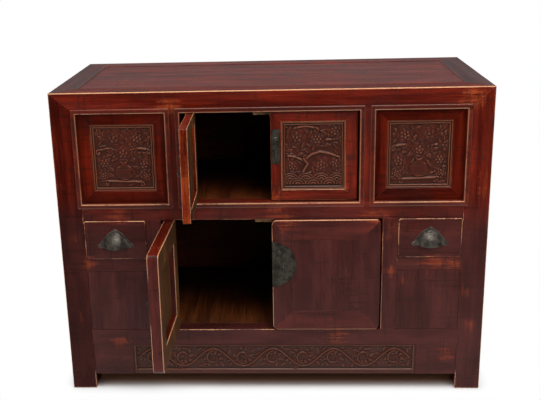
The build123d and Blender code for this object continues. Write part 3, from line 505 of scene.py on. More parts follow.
def bare_wood(name, along, dark, light, back_shade_share=0.0):
    """Unfinished wood, with painted shade that darkens it towards the back of the cupboard by the
    share of its last argument.
    """
    material, s, surface, place = new_material(name, {"Specular IOR Level": 0.22})
    wood = s.add("Group", {"Place": place, "Stretch": ALONG[along]}, node_tree=grain).outputs
    colour = s.mix(wood["Streaks"], dark, light)
    stains = s.fit(s.noise(place, 9, 4), 0.40, 0.68)
    colour = s.mix(s.times(stains, 0.45), colour, (0.020, 0.010, 0.006))
    if back_shade_share:
        # Painted shade: the wood goes near-black towards the back, where the light falls off inside
        # the cupboard.
        painted_back_shade = s.fit(s.axes(place)["Y"], front_y + 60 * mm, front_y + 330 * mm, 0.0, back_shade_share)
        colour = s.mix(painted_back_shade, colour, (0.004, 0.0025, 0.002))
    relief = s.math("SUBTRACT", wood["Streaks"], wood["Pores"])
    dress(s, surface, colour, s.fit(wood["Streaks"], 0, 1, 0.62, 0.78), relief, 0.4 * mm)
    return material


def carved_lacquer(name, crest_rub_and_highlight, light):
    """Lacquer over carving: darker in the hollows, and pale on the crests by the share of its
    second argument, partly as rubbing and partly as painted highlight.
    """
    material, s, surface, place = new_material(name, {
        "Specular IOR Level": 0.22, "Coat Weight": 0.12, "Coat Roughness": 0.22})
    skin = skin_of(s, place, white, 0.05, 0.1, light)
    crest, hollow = (s.add("Attribute", attribute_name=label).outputs["Fac"]
                     for label in ("crest", "hollow"))
    crumbs = s.noise(place, 320, 3)
    browned = s.mix(0.55, skin["Color"], (0.052, 0.0138, 0.0068))
    # Darker in the hollows and on the low ground.
    hollows_darkened = s.mix(s.times(hollow, 0.75), browned, (0.017, 0.008, 0.0042))
    # Pale crests: partly rubbed lacquer, partly a painted highlight on the raised edges.
    rub_and_highlight_share = s.fit(s.weighed(crumbs, 0.3, crest), 0.60, 1.10, 0.0, crest_rub_and_highlight)
    colour = s.mix(rub_and_highlight_share, hollows_darkened, (0.172, 0.059, 0.029))
    dress(s, surface, colour, s.fit(crest, 0, 1, 0.48, 0.30), crumbs, 0.25 * mm)
    return material


def old_iron(name, dark, light, roughness):
    """Dark hammered iron with a grey-green bloom and rubbed high spots."""
    material, s, surface, place = new_material(name, {"Metallic": 0.65})
    dents = s.noise(place, 150, 3)
    bloom = s.noise(place, 60, 5, roughness=0.7)
    specks = s.noise(place, 700, 3)
    colour = s.mix(s.fit(bloom, 0.38, 0.62), dark, light)
    colour = s.mix(s.fit(specks, 0.60, 0.72, 0, 0.6), colour, (0.05, 0.024, 0.012))
    relief = s.weighed(specks, 0.25, dents)
    dress(s, surface, colour, s.fit(bloom, 0.35, 0.65, *roughness), relief, 0.5 * mm)
    return material


lacquers = {name: lacquer("lacquer_" + name, **look) for name, look in {
    "level": dict(along="x", wear=0.34),
    "upright": dict(along="z", wear=0.30),
    # Painted shade: a darker, less glossy copy of the upright lacquer for the left post.
    "left_post_shaded": dict(along="z", wear=0.30, light=0.64, gloss=0.08),
    "deep": dict(along="y", wear=0.22, light=0.85),
    "top": dict(along="x", wear=0.22, redness=0.1, light=1.22, gloss=0.46, coat=0.26),
    "top_end": dict(along="y", wear=0.08, light=0.60, gloss=0.5, coat=0.35),
    "door": dict(along="z", wear=0.38, redness=0.3, light=1.15),
    "door_level": dict(along="x", wear=0.38, redness=0.12, light=1.05),
    "door_top": dict(along="y", wear=0.30, redness=0.9, light=0.95),
    "upper_door_end": dict(along="z", wear=0.70, redness=0.4, light=0.86, gloss=0.05),
    "lower_door_end": dict(along="z", wear=0.25, redness=0.15, light=1.18),
    "inner_level": dict(along="x", wear=0.10, light=0.55, gloss=0.04),
    "inner_upright": dict(along="z", wear=0.15, light=0.72, gloss=0.04),
}.items()}
arrises = {name: arris("arris_" + name, pale) for name, pale in {
    "bright": 0.95, "worn": 0.72, "soft": 0.55, "faint": 0.15, "drawer": 0.60}.items()}
arrises["moulding"] = arris("arris_moulding", 0.85, wear=0.22, light=0.85)
# For floor, shelf and inside, the number after the two colours is the share of painted shade
# towards the back.
bare = {name: bare_wood("bare_" + name, *look) for name, look in {
    "floor": ("y", (0.048, 0.0095, 0.0016), (0.150, 0.036, 0.005), 0.94),
    "shelf": ("y", (0.036, 0.0066, 0.0011), (0.110, 0.024, 0.0034), 0.94),
    "inside": ("x", (0.072, 0.012, 0.0038), (0.170, 0.032, 0.009), 0.5),
    "back": ("x", (0.095, 0.048, 0.024), (0.23, 0.125, 0.062)),
    "door": ("z", (0.040, 0.014, 0.0045), (0.135, 0.050, 0.012)),
    "drawer": ("y", (0.11, 0.052, 0.022), (0.27, 0.145, 0.062)),
}.items()}
carved = {"panel": carved_lacquer("carved_lacquer", 0.75, 0.70),
          "apron": carved_lacquer("carved_apron_lacquer", 0.38, 0.95)}
iron, handled_iron, rim_iron = (old_iron(*look) for look in (
    ("old_iron", (0.026, 0.020, 0.0145), (0.071, 0.064, 0.049), (0.36, 0.60)),
    ("handled_iron", (0.042, 0.035, 0.029), (0.122, 0.105, 0.086), (0.40, 0.56)),
    ("rim_iron", (0.115, 0.086, 0.068), (0.270, 0.225, 0.190), (0.36, 0.54))))


# ---------------------------------------------------------------- finished members

def piece_of(form, name, materials):
    """A new object from a form, with its materials."""
    mesh = bpy.data.meshes.new(name)
    form.to_mesh(mesh)
    form.free()
    for material in materials:
        mesh.materials.append(material)
    return show(name, mesh)


def cleaned(node):
    """A copy of a CAD node's mesh with its triangles joined to flat faces."""
    form = bmesh.new()
    form.from_mesh(frame["nodes"][node].data)
    bmesh.ops.remove_doubles(form, verts=form.verts, dist=0.01 * mm)
    bmesh.ops.dissolve_limit(form, angle_limit=math.radians(0.5), verts=form.verts,
                             edges=form.edges)
    return form


def all_surfaces(names):
    """One search tree of the surfaces of the named CAD nodes."""
    corners, faces = [], []
    for name in names:
        mesh = frame["nodes"][name].data
        start = len(corners)
        corners.extend(v.co for v in mesh.vertices)
        faces.extend(tuple(start + v for v in p.vertices) for p in mesh.polygons)
    return BVHTree.FromPolygons(corners, faces)


body_of = {node: shown["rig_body"] for node, shown in frame["nodes"].items()}
around = {body: all_surfaces([n for n in body_of if body in ("root", body_of[n])])
          for body in set(body_of.values())}
surfaces = {node: all_surfaces([node]) for node in frame["nodes"]}
boxes = {node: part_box(node) for node in frame["nodes"]}

# Pieces whose outline hardly shows against the members round them
quiet_nodes = {"lower_panels", "top_boards", "apron", "apron_blocks", "lower_left_door_panel",
               "lower_right_door_panel"}


def meets_another(node, edge):
    """Whether another member lies beside a node's edge, of the same body if the node moves."""
    place = (edge.verts[0].co + edge.verts[1].co) / 2
    for other, tree in surfaces.items():
        if other == node or body_of[node] not in ("root", body_of[other]):
            continue
        quiet = node in quiet_nodes or other in quiet_nodes
        reach = quiet_gap if quiet else touching
        low, high = boxes[other]
        if any(place[axis] < low[axis] - reach or place[axis] > high[axis] + reach
               for axis in range(3)):
            continue
        beside = [place + flat.normal * reach / 2 for flat in edge.link_faces]
        if quiet and tree.find_nearest(place, reach)[0] is not None or any(
                tree.find_nearest(near, beside_share * reach)[0] is not None for near in beside):
            return True
    return False


def hinge_of(door):
    return next(j for j in frame["joints"] if j["name"] == f"{door}_hinge")


def leaf_turn(door):
    """The turn of a door leaf at rest, from where it is shut."""
    return Matrix.Rotation(math.radians(hinge_of(door)["range_deg"][0]), 3, "Z")


class Shape:
    """How the form of a finished member differs from its node's; here it doesn't."""

    def already_round(self, place):
        """Whether the node itself is rounded at a place."""
        return False

    def cut(self, form, is_rail):
        """Adds the edges that the new form needs."""

    def draw_in(self, form):
        """Moves the corners to the new form."""


class LeafShape(Shape):
    """Rounds the corners of a door leaf in its own plane and widens it at the hinge."""

    def __init__(self, door, side, radius, widening):
        self.across, self.radius, self.side = leaf_turn(door) @ X_AXIS, radius, side
        sideways = [self.across.dot(v.co) for stile in ("hinge", "lock")
                    for v in frame["nodes"][f"{door}_{stile}_stile"].data.vertices]
        low, high = boxes[f"{door}_lock_stile"]
        self.sideways, self.upwards = (min(sideways), max(sideways)), (low.z, high.z)
        self.widening = self.across * side * widening
        self.hinge_edge = max(side * place for place in sideways)

    def already_round(self, place):
        return self.side * place.dot(self.across) > self.hinge_edge - hinge_edge_round

    def cut(self, form, is_rail):
        direction = self.across if is_rail else Z_AXIS
        low, high = self.sideways if is_rail else self.upwards
        for share in arc_cuts:
            for level in (low + share * self.radius, high - share * self.radius):
                bmesh.ops.bisect_plane(form, geom=form.verts[:] + form.edges[:] + form.faces[:],
                                       plane_co=direction * level, plane_no=direction,
                                       dist=0.001 * mm)

    def draw_in(self, form):
        for corner in form.verts:
            inward, sign = [], []
            for value, (low, high) in ((corner.co.dot(self.across), self.sideways),
                                       (corner.co.z, self.upwards)):
                inward.append(min(value - low, high - value))
                sign.append(1 if value - low < high - value else -1)
            if min(inward) < -0.05 * mm or max(inward) > self.radius:
                continue
            away = math.hypot(self.radius - inward[0], self.radius - inward[1])
            if away > self.radius:
                share = 1 - self.radius / away
                corner.co += self.across * sign[0] * (self.radius - inward[0]) * share
                corner.co.z += sign[1] * (self.radius - inward[1]) * share
        for corner in form.verts:
            if self.side * corner.co.dot(self.across) > self.hinge_edge - self.radius:
                corner.co += self.widening


class FlushShape(Shape):
    """Flares the flush fronts of the two lower panels, so that the gap round them is finer."""

    def draw_in(self, form):
        face_y = min(corner.co.y for corner in form.verts)
        front = [corner for corner in form.verts if corner.co.y < face_y + touching]
        for side in (LEFT, RIGHT):
            panel = [corner for corner in front if corner.co.x * side > 0]
            for axis in (0, 2):
                low = min(corner.co[axis] for corner in panel)
                high = max(corner.co[axis] for corner in panel)
                for corner in panel:
                    share = (corner.co[axis] - low) / (high - low)
                    corner.co[axis] += panel_flare * (2 * share - 1)


class CupShape(Shape):
    """Gives a cup pull the outline of a pointed arch, with more of its rim round the cup."""

    def __init__(self, drawer):
        low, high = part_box(f"{drawer}_pull")
        self.middle = (low.x + high.x) / 2
        self.foot = low.z + ear_drop
        self.face_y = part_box(f"{drawer}_front")[0].y

    def measures(self, place):
        """How far out a place is, and its share and angle on the way from the foot to the rim."""
        across = (place.x - self.middle) / cup_radius
        up = max(0.0, place.z - self.foot) / cup_height
        return self.face_y - place.y, math.hypot(across, up), math.atan2(up, abs(across))

    def draw_in(self, form):
        for flat in form.faces:
            out, share, _ = self.measures(flat.calc_center_median())
            on_rim = share > rim_share and out < rim_thickness + iron_proud
            flat.material_index = 2 if on_rim else 0
        for corner in form.verts:
            out, share, angle = self.measures(corner.co)
            if out < -touching:
                continue
            lift = 0.0
            if share < 1:
                lift = min(1.0, max(0.0, (out - rim_thickness) / rim_blend))
                lift *= lift * (3 - 2 * lift)
            shoulder = shoulder_drop * math.sin(2 * angle) ** 2
            factor = 1 - shoulder * (1 - cup_roundness * lift) - cup_narrowing * lift
            corner.co.x = self.middle + (corner.co.x - self.middle) * factor
            if corner.co.z > self.foot:
                corner.co.z = self.foot + (corner.co.z - self.foot) * factor


def finish_member(node, face, corner, rounding, others_by_side, shape, curves_worn):
    """Stands for a CAD node with rounded arrises, which are finer where two members meet."""
    form = cleaned(node)
    shape.cut(form, node.endswith("rails"))
    for edge in [e for e in form.edges if e.calc_length() > 2 * edge_piece]:
        bmesh.ops.bisect_edges(form, edges=[edge], cuts=int(edge.calc_length() / edge_piece))
    weight = form.edges.layers.float.new("bevel_weight_edge")
    paleness = form.verts.layers.float.new("paleness")
    for edge in form.edges:
        if len(edge.link_faces) != 2:
            continue
        angle = edge.calc_face_angle_signed()
        edge.smooth = abs(angle) < smooth_angle
        if angle < smooth_angle:
            continue
        outward = (edge.link_faces[0].normal + edge.link_faces[1].normal).normalized()
        middle = (edge.verts[0].co + edge.verts[1].co) / 2
        hit = around[body_of[node]].ray_cast(middle + outward * ray_start, outward, open_air)
        if hit[0] is not None or shape.already_round(middle):
            continue
        joint = meets_another(node, edge)
        edge[weight] = joint_share if joint else 1.0
        if not joint:
            rubbing = 1.0 if outward.z > looking_up else side_rubbing
            for end in edge.verts:
                end[paleness] = max(end[paleness], rubbing)
    for flat in form.faces:
        flat.smooth = True
        for place, (direction, _) in enumerate(others_by_side):
            if flat.normal.dot(direction) > 0.9:
                flat.material_index = 2 + place
        if curves_worn and worn_curve[0] < flat.normal.y < worn_curve[1]:
            flat.material_index = 1
            for end in flat.verts:
                end[paleness] = 1.0
    shape.draw_in(form)
    form.normal_update()
    piece = piece_of(form, "finished_" + node, (face, corner, *(m for _, m in others_by_side)))
    rounded = piece.modifiers.new("rounded", "BEVEL")
    rounded.limit_method = "WEIGHT"
    rounded.width = rounding
    rounded.segments = round_segments
    rounded.use_clamp_overlap = False
    rounded.harden_normals = True
    rounded.material = 1
    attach(piece, body_of[node])
    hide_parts(node)


def finish(nodes, face, corner, rounding, others_by_side=(), shape=Shape(), curves_worn=False):
    """Finishes the nodes, named with spaces between them.

    others_by_side gives directions and the materials of the faces that look that way;
    curves_worn says that the rounding which a node already has in front is worn as well.
    """
    for node in nodes.split():
        finish_member(node, face, corner, rounding, others_by_side, shape, curves_worn)


def finish_carcass():
    for nodes, face, corner, rounding in (
            ("post_front_left", "left_post_shaded", "worn", carcass_round),
            ("post_front_right post_back_left post_back_right", "upright", "worn", carcass_round),
            ("top_rail_front", "level", "bright", top_round),
            ("top_rail_back", "top", "soft", carcass_round),
            ("top_rail_left top_rail_right", "top_end", "soft", carcass_round),
            ("top_boards", "top", "faint", panel_round),
            ("mid_rail bottom_rail drawer_rails", "level", "soft", carcass_round),
            ("upper_stiles lower_stiles", "upright", "soft", carcass_round),
            ("fixed_frame_rails", "inner_level", "faint", panel_round),
            ("fixed_frame_stiles", "inner_upright", "faint", panel_round),
            ("lower_panels", "upright", "faint", panel_round),
            ("apron_blocks", "level", "faint", panel_round),
            ("side_rails", "deep", "soft", carcass_round),
            ("side_panels", "deep", "faint", panel_round)):
        shape = FlushShape() if nodes == "lower_panels" else Shape()
        finish(nodes, lacquers[face], arrises[corner], rounding, shape=shape)


def finish_doors():
    for level, face, edge, rounding, corner_radius, widening in (
            ("upper", "door", "worn", upper_door_round, upper_leaf_corner, upper_leaf_widening),
            ("lower", "upright", "bright", door_round, lower_leaf_corner, 0.0)):
        for side, side_name in ((LEFT, "left"), (RIGHT, "right")):
            door = f"{level}_{side_name}_door"
            opened = side == LEFT
            shape = LeafShape(door, side, corner_radius, widening)
            sides = [(X_AXIS if opened else Y_AXIS, bare["door"]), (Z_AXIS, lacquers["door_top"])]
            if opened:
                sides.append((-Y_AXIS, lacquers[f"{level}_door_end"]))
            finish(f"{door}_hinge_stile {door}_lock_stile", lacquers[face], arrises[edge], rounding,
                   sides, shape)
            finish(f"{door}_rails", lacquers["door_level"], arrises[edge], rounding, sides, shape)
            if level == "lower":
                finish(f"{door}_panel", lacquers["upright"], arrises["faint"], panel_round,
                       sides[:1])


def finish_drawers():
    for drawer in ("left_drawer", "right_drawer"):
        finish(f"{drawer}_front", lacquers["level"], arrises["drawer"], panel_round,
               [(Y_AXIS, bare["drawer"])], curves_worn=True)
        finish(f"{drawer}_pull", handled_iron, rim_iron, iron_round, [(-Y_AXIS, rim_iron)],
               CupShape(drawer))


def repaint(node, first, second, is_second):
    """Gives a CAD node two materials, the second where is_second says so of a face."""
    mesh = frame["nodes"][node].data
    mesh.materials.clear()
    mesh.materials.append(first)
    mesh.materials.append(second)
    for flat in mesh.polygons:
        flat.material_index = int(is_second(flat))


def paint_nodes():
    """Materials of the CAD nodes that stay as they are."""
    woods = {"shelf_boards": "shelf", "bottom_boards": "floor", "drawer_runners": "inside",
             "stop_blocks": "drawer", "top_battens": "inside"}
    for side_name in ("left", "right"):
        for part in ("sides", "back", "bottom"):
            woods[f"{side_name}_drawer_{part}"] = "drawer"
    for node, wood in woods.items():
        repaint(node, bare[wood], bare["inside"], lambda flat: False)
    for node in ("back_boards", "back_rails", "back_muntins"):
        repaint(node, bare["back"], bare["inside"], lambda flat: flat.normal.y < 0.5)
    for door in ("upper_left_door", "lower_left_door", "upper_right_door", "lower_right_door"):
        outward = leaf_turn(door) @ -Y_AXIS
        plate = frame["nodes"][f"{door}_plate"].data
        sheet = max((flat for flat in plate.polygons if flat.normal.dot(outward) > 0.99),
                    key=lambda flat: flat.area).center.copy()
        repaint(f"{door}_plate", iron, handled_iron,
                lambda flat: (flat.center - sheet).dot(outward) > iron_proud)


# ---------------------------------------------------------------- mouldings

def bead_profile():
    """Section of the moulding: away from the opening, out from the front, and how pale it is,
    partly as wear and partly as painted highlight.
    """
    crown = []
    for step in range(bead_steps + 1):
        turn = math.pi * step / bead_steps
        away = bead_width / 2 - (bead_width / 2 + bead_lip) * math.cos(turn)
        inner_line = math.exp(-((away - 0.7 * mm) / (1.1 * mm)) ** 2)
        outer_line = 0.30 * math.exp(-((away - bead_width) / (0.8 * mm)) ** 2)
        crown.append((away, bead_rise * math.sin(turn) ** 0.8, inner_line + outer_line))
    return ([(-bead_lip, -bead_reach, 0.0)] + crown
            + [(bead_width, -bead_sunk, 0.0), (bead_inset, -bead_sunk, 0.0),
               (bead_inset, -bead_reach, 0.0)])


def make_moulding(name, x, z):
    """A bead round an opening between its limits in x and z, in four mitred lengths."""
    profile = bead_profile()
    centre = Vector(((x[0] + x[1]) / 2, 0, (z[0] + z[1]) / 2))
    half = ((x[1] - x[0]) / 2, (z[1] - z[0]) / 2)
    form = bmesh.new()
    paleness = form.verts.layers.float.new("paleness")
    for side, side_paleness in enumerate(bead_paleness):
        rings = []
        for turn_x, turn_z in (square_signs[side], square_signs[(side + 1) % 4]):
            ring = []
            for away, out, line in profile:
                corner = form.verts.new(centre + Vector((
                    turn_x * (half[0] + away), front_y - out, turn_z * (half[1] + away))))
                corner[paleness] = line * side_paleness
                ring.append(corner)
            rings.append(ring)
        for point in range(len(profile)):
            after = (point + 1) % len(profile)
            form.faces.new((rings[0][point], rings[1][point], rings[1][after], rings[0][after]))
        form.faces.new(rings[0][::-1])
        form.faces.new(rings[1])
    bmesh.ops.recalc_face_normals(form, faces=form.faces)
    for flat in form.faces:
        flat.smooth = True
    for edge in form.edges:
        edge.smooth = edge.calc_face_angle(0) < bead_crease
    piece = piece_of(form, name, [arrises["moulding"]])
    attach(piece, "root")


def make_mouldings():
    stile_in = upper_stile_out - upper_stile_width
    make_moulding("moulding_middle", (-stile_in, stile_in), upper_bay_z)
    make_moulding("moulding_left", (-post_x, -upper_stile_out), upper_bay_z)
    make_moulding("moulding_right", (upper_stile_out, post_x), upper_bay_z)


# ---------------------------------------------------------------- carving

# Heights above the ground, in millimetres
blossom_rise, wave_rise, vase_rise, cloud_rise = 4.2, 3.4, 4.4, 3.4
tool_depth = 0.25


def dome(share):
    """The height of a half circle at a share of its radius."""
    return np.sqrt(np.clip(1 - share ** 2, 0, 1))


def ahead(start, reach, angle):
    """The point at a distance and an angle from another."""
    return (start[0] + reach * math.cos(angle), start[1] + reach * math.sin(angle))


class Carving:
    """A height field that is carved on a flat panel, in millimetres from its low left.

    Its patterns give places by at(), and a mirrored field turns them over from side to side.
    """

    def __init__(self, width, height, step, mirrored=False):
        self.width, self.height, self.mirrored = width, height, mirrored
        columns = int(width / step) + 1
        rows = int(height / step) + 1
        self.u, self.v = np.meshgrid(np.linspace(0, width, columns), np.linspace(0, height, rows))
        self.rise = np.zeros_like(self.u)

    def at(self, u, v):
        """The place at shares of the width and the height."""
        return (1 - u if self.mirrored else u) * self.width, v * self.height

    def turned(self, angle):
        return math.pi - angle if self.mirrored else angle

    def lay(self, rise):
        """Lays a form over the others, and sinks what shows just round it."""
        solid = rise > 0.05
        halo = solid.copy()
        for _ in range(2):
            grown = halo.copy()
            grown[1:] |= halo[:-1]
            grown[:-1] |= halo[1:]
            grown[:, 1:] |= halo[:, :-1]
            grown[:, :-1] |= halo[:, 1:]
            halo = grown
        self.rise = np.where(halo & ~solid, self.rise * 0.42, self.rise)
        self.rise = np.where(solid, np.maximum(rise, self.rise * 0.35 + rise * 0.65), self.rise)

    def along(self, base, tip):
        """Coordinates along and across the line from base to tip, and its length."""
        du, dv = tip[0] - base[0], tip[1] - base[1]
        length = math.hypot(du, dv)
        u, v = self.u - base[0], self.v - base[1]
        return (u * du + v * dv) / length, (v * du - u * dv) / length, length

    def leaf(self, base, tip, width, rise, bend=0.0):
        """A pointed leaf with a sunk middle vein, bent to one side by a share of its length."""
        s, t, length = self.along(base, tip)
        share = np.clip(s / length, 0, 1)
        t = t - bend * length * np.sin(np.pi * share)
        half = width / 2 * np.sin(np.pi * share ** 0.8) + 1e-6
        vein = 0.45 * np.exp(-(t / 0.7) ** 2)
        inside = (s > 0) & (s < length)
        self.lay(np.where(inside, rise * np.clip(dome(t / half) - vein, 0, 1), 0))

    def stem(self, points, width, rise):
        """A rounded stem through a row of points."""
        nearest = np.full_like(self.u, 1e3)
        for start, end in zip(points, points[1:]):
            s, t, length = self.along(start, end)
            nearest = np.minimum(nearest, np.hypot(s - np.clip(s, 0, length), t))
        self.lay(rise * dome(2 * nearest / width))

    def blossom(self, centre, radius, petals, turn):
        """An open flower with two rows of round petals and a raised heart."""
        u, v = self.u - centre[0], self.v - centre[1]
        away = np.hypot(u, v)
        for size, height, shift in ((1.0, 0.72, 0.0), (0.62, 0.92, math.pi / petals)):
            angle = np.arctan2(v, u) + turn + shift
            lobes = np.abs(np.cos(angle * petals / 2))
            share = away / (size * radius * (0.60 + 0.40 * np.sqrt(lobes)))
            cup = np.sin(np.clip(share, 0, 1) * np.pi) ** 0.6 * (0.50 + 0.50 * lobes)
            self.lay(np.where(share < 1, blossom_rise * height * cup, 0))
        self.lay(blossom_rise * dome(away / (0.20 * radius)))

    def blossoms(self, rows):
        """Blossoms, each by its place, its size as a share of the width, petals and turn."""
        for u, v, size, petals, turn in rows:
            self.blossom(self.at(u, v), size * self.width, petals, turn)

    def spiral(self, centre, radius, start, turns, width, rise=2.6):
        """A stem that curls inwards from a start angle."""
        steps = int(26 * abs(turns)) + 2
        shares = [step / (steps - 1) for step in range(steps)]
        self.stem([ahead(centre, radius * (1 - 0.82 * share), start + 2 * math.pi * turns * share)
                   for share in shares], width, rise)

    def scallops(self, low, rows, count):
        """Rows of overlapping round waves along the bottom, each of fine rings."""
        pitch = self.width / count
        for row in range(rows):
            base = low + (rows - 1 - row) * pitch * 0.30
            for place in range(-1, count + 1):
                middle = (place + 0.5 * (row % 2) + 0.5) * pitch
                away = np.hypot(self.u - middle, (self.v - base) * 1.25)
                rings = 0.62 + 0.38 * np.cos((away / pitch - 0.53) * 2 * np.pi * 5)
                inside = (away < pitch * 0.55) & (self.v > base)
                self.lay(np.where(inside, wave_rise * rings, 0))

    def vase(self, centre, width, height):
        """A round-bodied vase with a narrow neck and a foot."""
        u, v = self.u - centre[0], (self.v - centre[1]) / height
        neck = np.where((v > 0.6) & (v < 1.0), 0.34 + 6 * (v - 0.8) ** 2, 0)
        foot = np.where((v > 0) & (v < 0.12), 0.5, 0)
        half = width / 2 * np.maximum(np.maximum(dome((v - 0.36) / 0.38), neck), foot) + 1e-6
        body = dome(u / half)
        bands = 0.22 * (np.abs(v - 0.55) < 0.03) + 0.22 * (np.abs(v - 0.2) < 0.03)
        rise = vase_rise * (0.35 + 0.65 * body - bands)
        self.lay(np.where((v > 0) & (v < 1) & (body > 0), rise, 0))

    def cloud(self, u, v, share):
        """A flat cloud, as wide as a share of the field: a long crest over two curled ends."""
        centre, width = self.at(u, v), share * self.width
        half = width / 2
        crest = [(centre[0] + half * share, centre[1] + 0.13 * width * math.cos(1.5 * share))
                 for share in (-0.9, -0.6, -0.3, 0, 0.3, 0.6, 0.9)]
        self.stem(crest, 6.4, cloud_rise * 1.2)
        for side in (-1, 1):
            self.spiral((centre[0] + side * half * 0.72, centre[1] - 0.05 * width), 0.13 * width,
                        math.pi / 2, -0.9 * side, 4.0, cloud_rise)

    def sprays(self, rows, rise):
        """Bent twigs, each by its place, angle and length, with two pairs of leaves and a tip."""
        for u, v, angle, length in rows:
            angle = self.turned(angle)
            points = [self.at(u, v)]
            for bend in (-0.28, 0.07):
                points.append(ahead(points[-1], length / 3, angle + bend))
            self.stem(points, 2.4, rise * 0.8)
            size = length * 0.46
            for point in points[1:]:
                for side in (-1, 1):
                    self.leaf(point, ahead(point, size, angle + side * 0.95), size * 0.52, rise,
                              bend=-0.12 * side)
            self.leaf(points[-1], ahead(points[-1], size, angle), size * 0.5, rise * 1.1)

    def fill(self, seed, size, edge, low):
        """Scatters leaves over the ground that still lies bare."""
        rng = random.Random(seed)
        pitch = size * 0.62
        for row in range(int((self.height - 2 * edge) / pitch) + 1):
            for column in range(int((self.width - 2 * edge) / pitch) + 1):
                u = edge + (column + rng.uniform(0, 0.9)) * pitch
                v = edge + (row + rng.uniform(0, 0.9)) * pitch
                angle = rng.choice((0.4, 1.1, 2.0, 2.7)) + rng.uniform(-0.3, 0.3)
                length = size * rng.uniform(0.75, 1.2)
                tip = ahead((u, v), length, angle)
                if v < low or self.covered(u, v, tip):
                    continue
                rise, bend = rng.uniform(2.2, 3.0), rng.uniform(-0.15, 0.15)
                self.leaf((u, v), tip, length * 0.40, rise, bend)

    def covered(self, u, v, tip):
        """Whether a leaf from u, v to its tip would lie on another form or off the field."""
        rows, columns = self.u.shape
        for share in (0.15, 0.5, 0.85):
            column = round((u + share * (tip[0] - u)) / self.width * (columns - 1))
            row = round((v + share * (tip[1] - v)) / self.height * (rows - 1))
            if not (0 <= column < columns and 0 <= row < rows) or self.rise[row, column] > 1.0:
                return True
        return False

    def border(self, bead, second):
        """A round bead at the edge of the field and a finer one inside it."""
        edge = np.minimum(np.minimum(self.u, self.width - self.u),
                          np.minimum(self.v, self.height - self.v))
        outer = dome((edge - bead / 2) / (bead / 2)) * 4.4
        middle = bead + 1.4 + second / 2
        inner = dome((edge - middle) / (second / 2)) * 3.8
        quirk = edge > middle + second / 2 + 0.8
        self.rise = np.where(quirk, self.rise, np.maximum(outer, inner))

    def tool_marks(self, seed):
        """The slight unevenness of a ground that was cut by hand."""
        rows, columns = self.u.shape
        coarse = np.random.default_rng(seed).random((rows // 5 + 2, columns // 5 + 2))
        for count in (columns, rows):
            places = np.linspace(0, coarse.shape[1] - 1.001, count)
            coarse = np.array([np.interp(places, range(len(line)), line) for line in coarse]).T
        self.rise = self.rise + tool_depth * (coarse - 0.5)

    def blurred(self, reach):
        """The field averaged over a square of 2 * reach + 1 cells."""
        field, count = self.rise, 2 * reach + 1
        for _ in range(2):
            padded = np.pad(field, ((reach, reach), (0, 0)), mode="edge")
            field = (sum(padded[row:row + len(field)] for row in range(count)) / count).T
        return field


def carve_fixed_panel(width, height, mirrored):
    """Blossoms in a vase on a low stand, under clouds and with sprays at both sides."""
    field = Carving(width, height, carve_step / mm, mirrored)
    field.cloud(0.26, 0.93, 0.34)
    field.cloud(0.76, 0.60, 0.36)
    field.cloud(0.24, 0.60, 0.36)
    field.sprays((
        (0.50, 0.46, 2.6, 46), (0.50, 0.46, 0.5, 46), (0.56, 0.62, 1.0, 38),
        (0.44, 0.62, 2.2, 38), (0.12, 0.70, 1.2, 36), (0.90, 0.68, 1.9, 36),
        (0.32, 0.22, 2.6, 38), (0.68, 0.22, 0.5, 38), (0.12, 0.14, 0.9, 30),
        (0.88, 0.14, 2.2, 30), (0.60, 0.90, 0.0, 34)), 3.0)
    field.vase(field.at(0.50, 0.17), 0.29 * width, 0.31 * height)
    field.blossoms((
        (0.50, 0.56, 0.130, 5, 0.4), (0.36, 0.80, 0.170, 5, 0.1), (0.73, 0.80, 0.150, 6, 0.9),
        (0.19, 0.42, 0.130, 6, 0.5), (0.82, 0.40, 0.130, 5, 0.2), (0.16, 0.22, 0.095, 5, 0.3),
        (0.84, 0.21, 0.090, 5, 0.7)))
    field.stem([field.at(0.20, 0.155), field.at(0.80, 0.135)], 5.4, 4.2)
    field.spiral(field.at(0.22, 0.105), 6, math.pi / 2, 1.0, 2.8)
    field.spiral(field.at(0.78, 0.095), 6, math.pi / 2, -1.0, 2.8)
    field.fill(11 if mirrored else 7, 20, 11, 0.0)
    field.tool_marks(3)
    field.border(4.2, 3.0)
    return field


def carve_door_panel(width, height, mirrored):
    """A bent branch with blossoms and clouds over rows of waves."""
    field = Carving(width, height, carve_step / mm, mirrored)
    field.cloud(0.38, 0.88, 0.44)
    field.cloud(0.78, 0.70, 0.34)
    field.sprays((
        (0.12, 0.66, 1.2, 38), (0.66, 0.88, 0.2, 34), (0.90, 0.58, 1.8, 36),
        (0.50, 0.60, 0.9, 36), (0.28, 0.56, 2.2, 34), (0.52, 0.26, -0.2, 34),
        (0.78, 0.24, 0.5, 32), (0.20, 0.26, 2.6, 32), (0.92, 0.26, 1.8, 28),
        (0.56, 0.46, -0.8, 32), (0.10, 0.44, 1.6, 28), (0.30, 0.38, 2.6, 30)), 2.8)
    arch = ((0.10, 0.50), (0.22, 0.485), (0.34, 0.43), (0.47, 0.52), (0.60, 0.56), (0.76, 0.53),
            (0.91, 0.475))
    trunk = ((0.40, 0.16), (0.34, 0.27), (0.41, 0.38), (0.35, 0.45))
    field.stem([field.at(*place) for place in arch], 6.2, 4.2)
    field.stem([field.at(*place) for place in trunk], 6.6, 4.0)
    field.blossoms((
        (0.24, 0.77, 0.155, 5, 0.2), (0.56, 0.74, 0.140, 6, 0.5), (0.83, 0.86, 0.125, 5, 0.8),
        (0.62, 0.36, 0.150, 6, 0.1), (0.85, 0.38, 0.115, 5, 0.6), (0.16, 0.34, 0.110, 5, 0.4)))
    field.fill(23 if mirrored else 19, 18, 10, 0.2 * height)
    field.scallops(0.075 * height, 2, 4)
    field.tool_marks(5)
    field.border(4.0, 2.6)
    return field


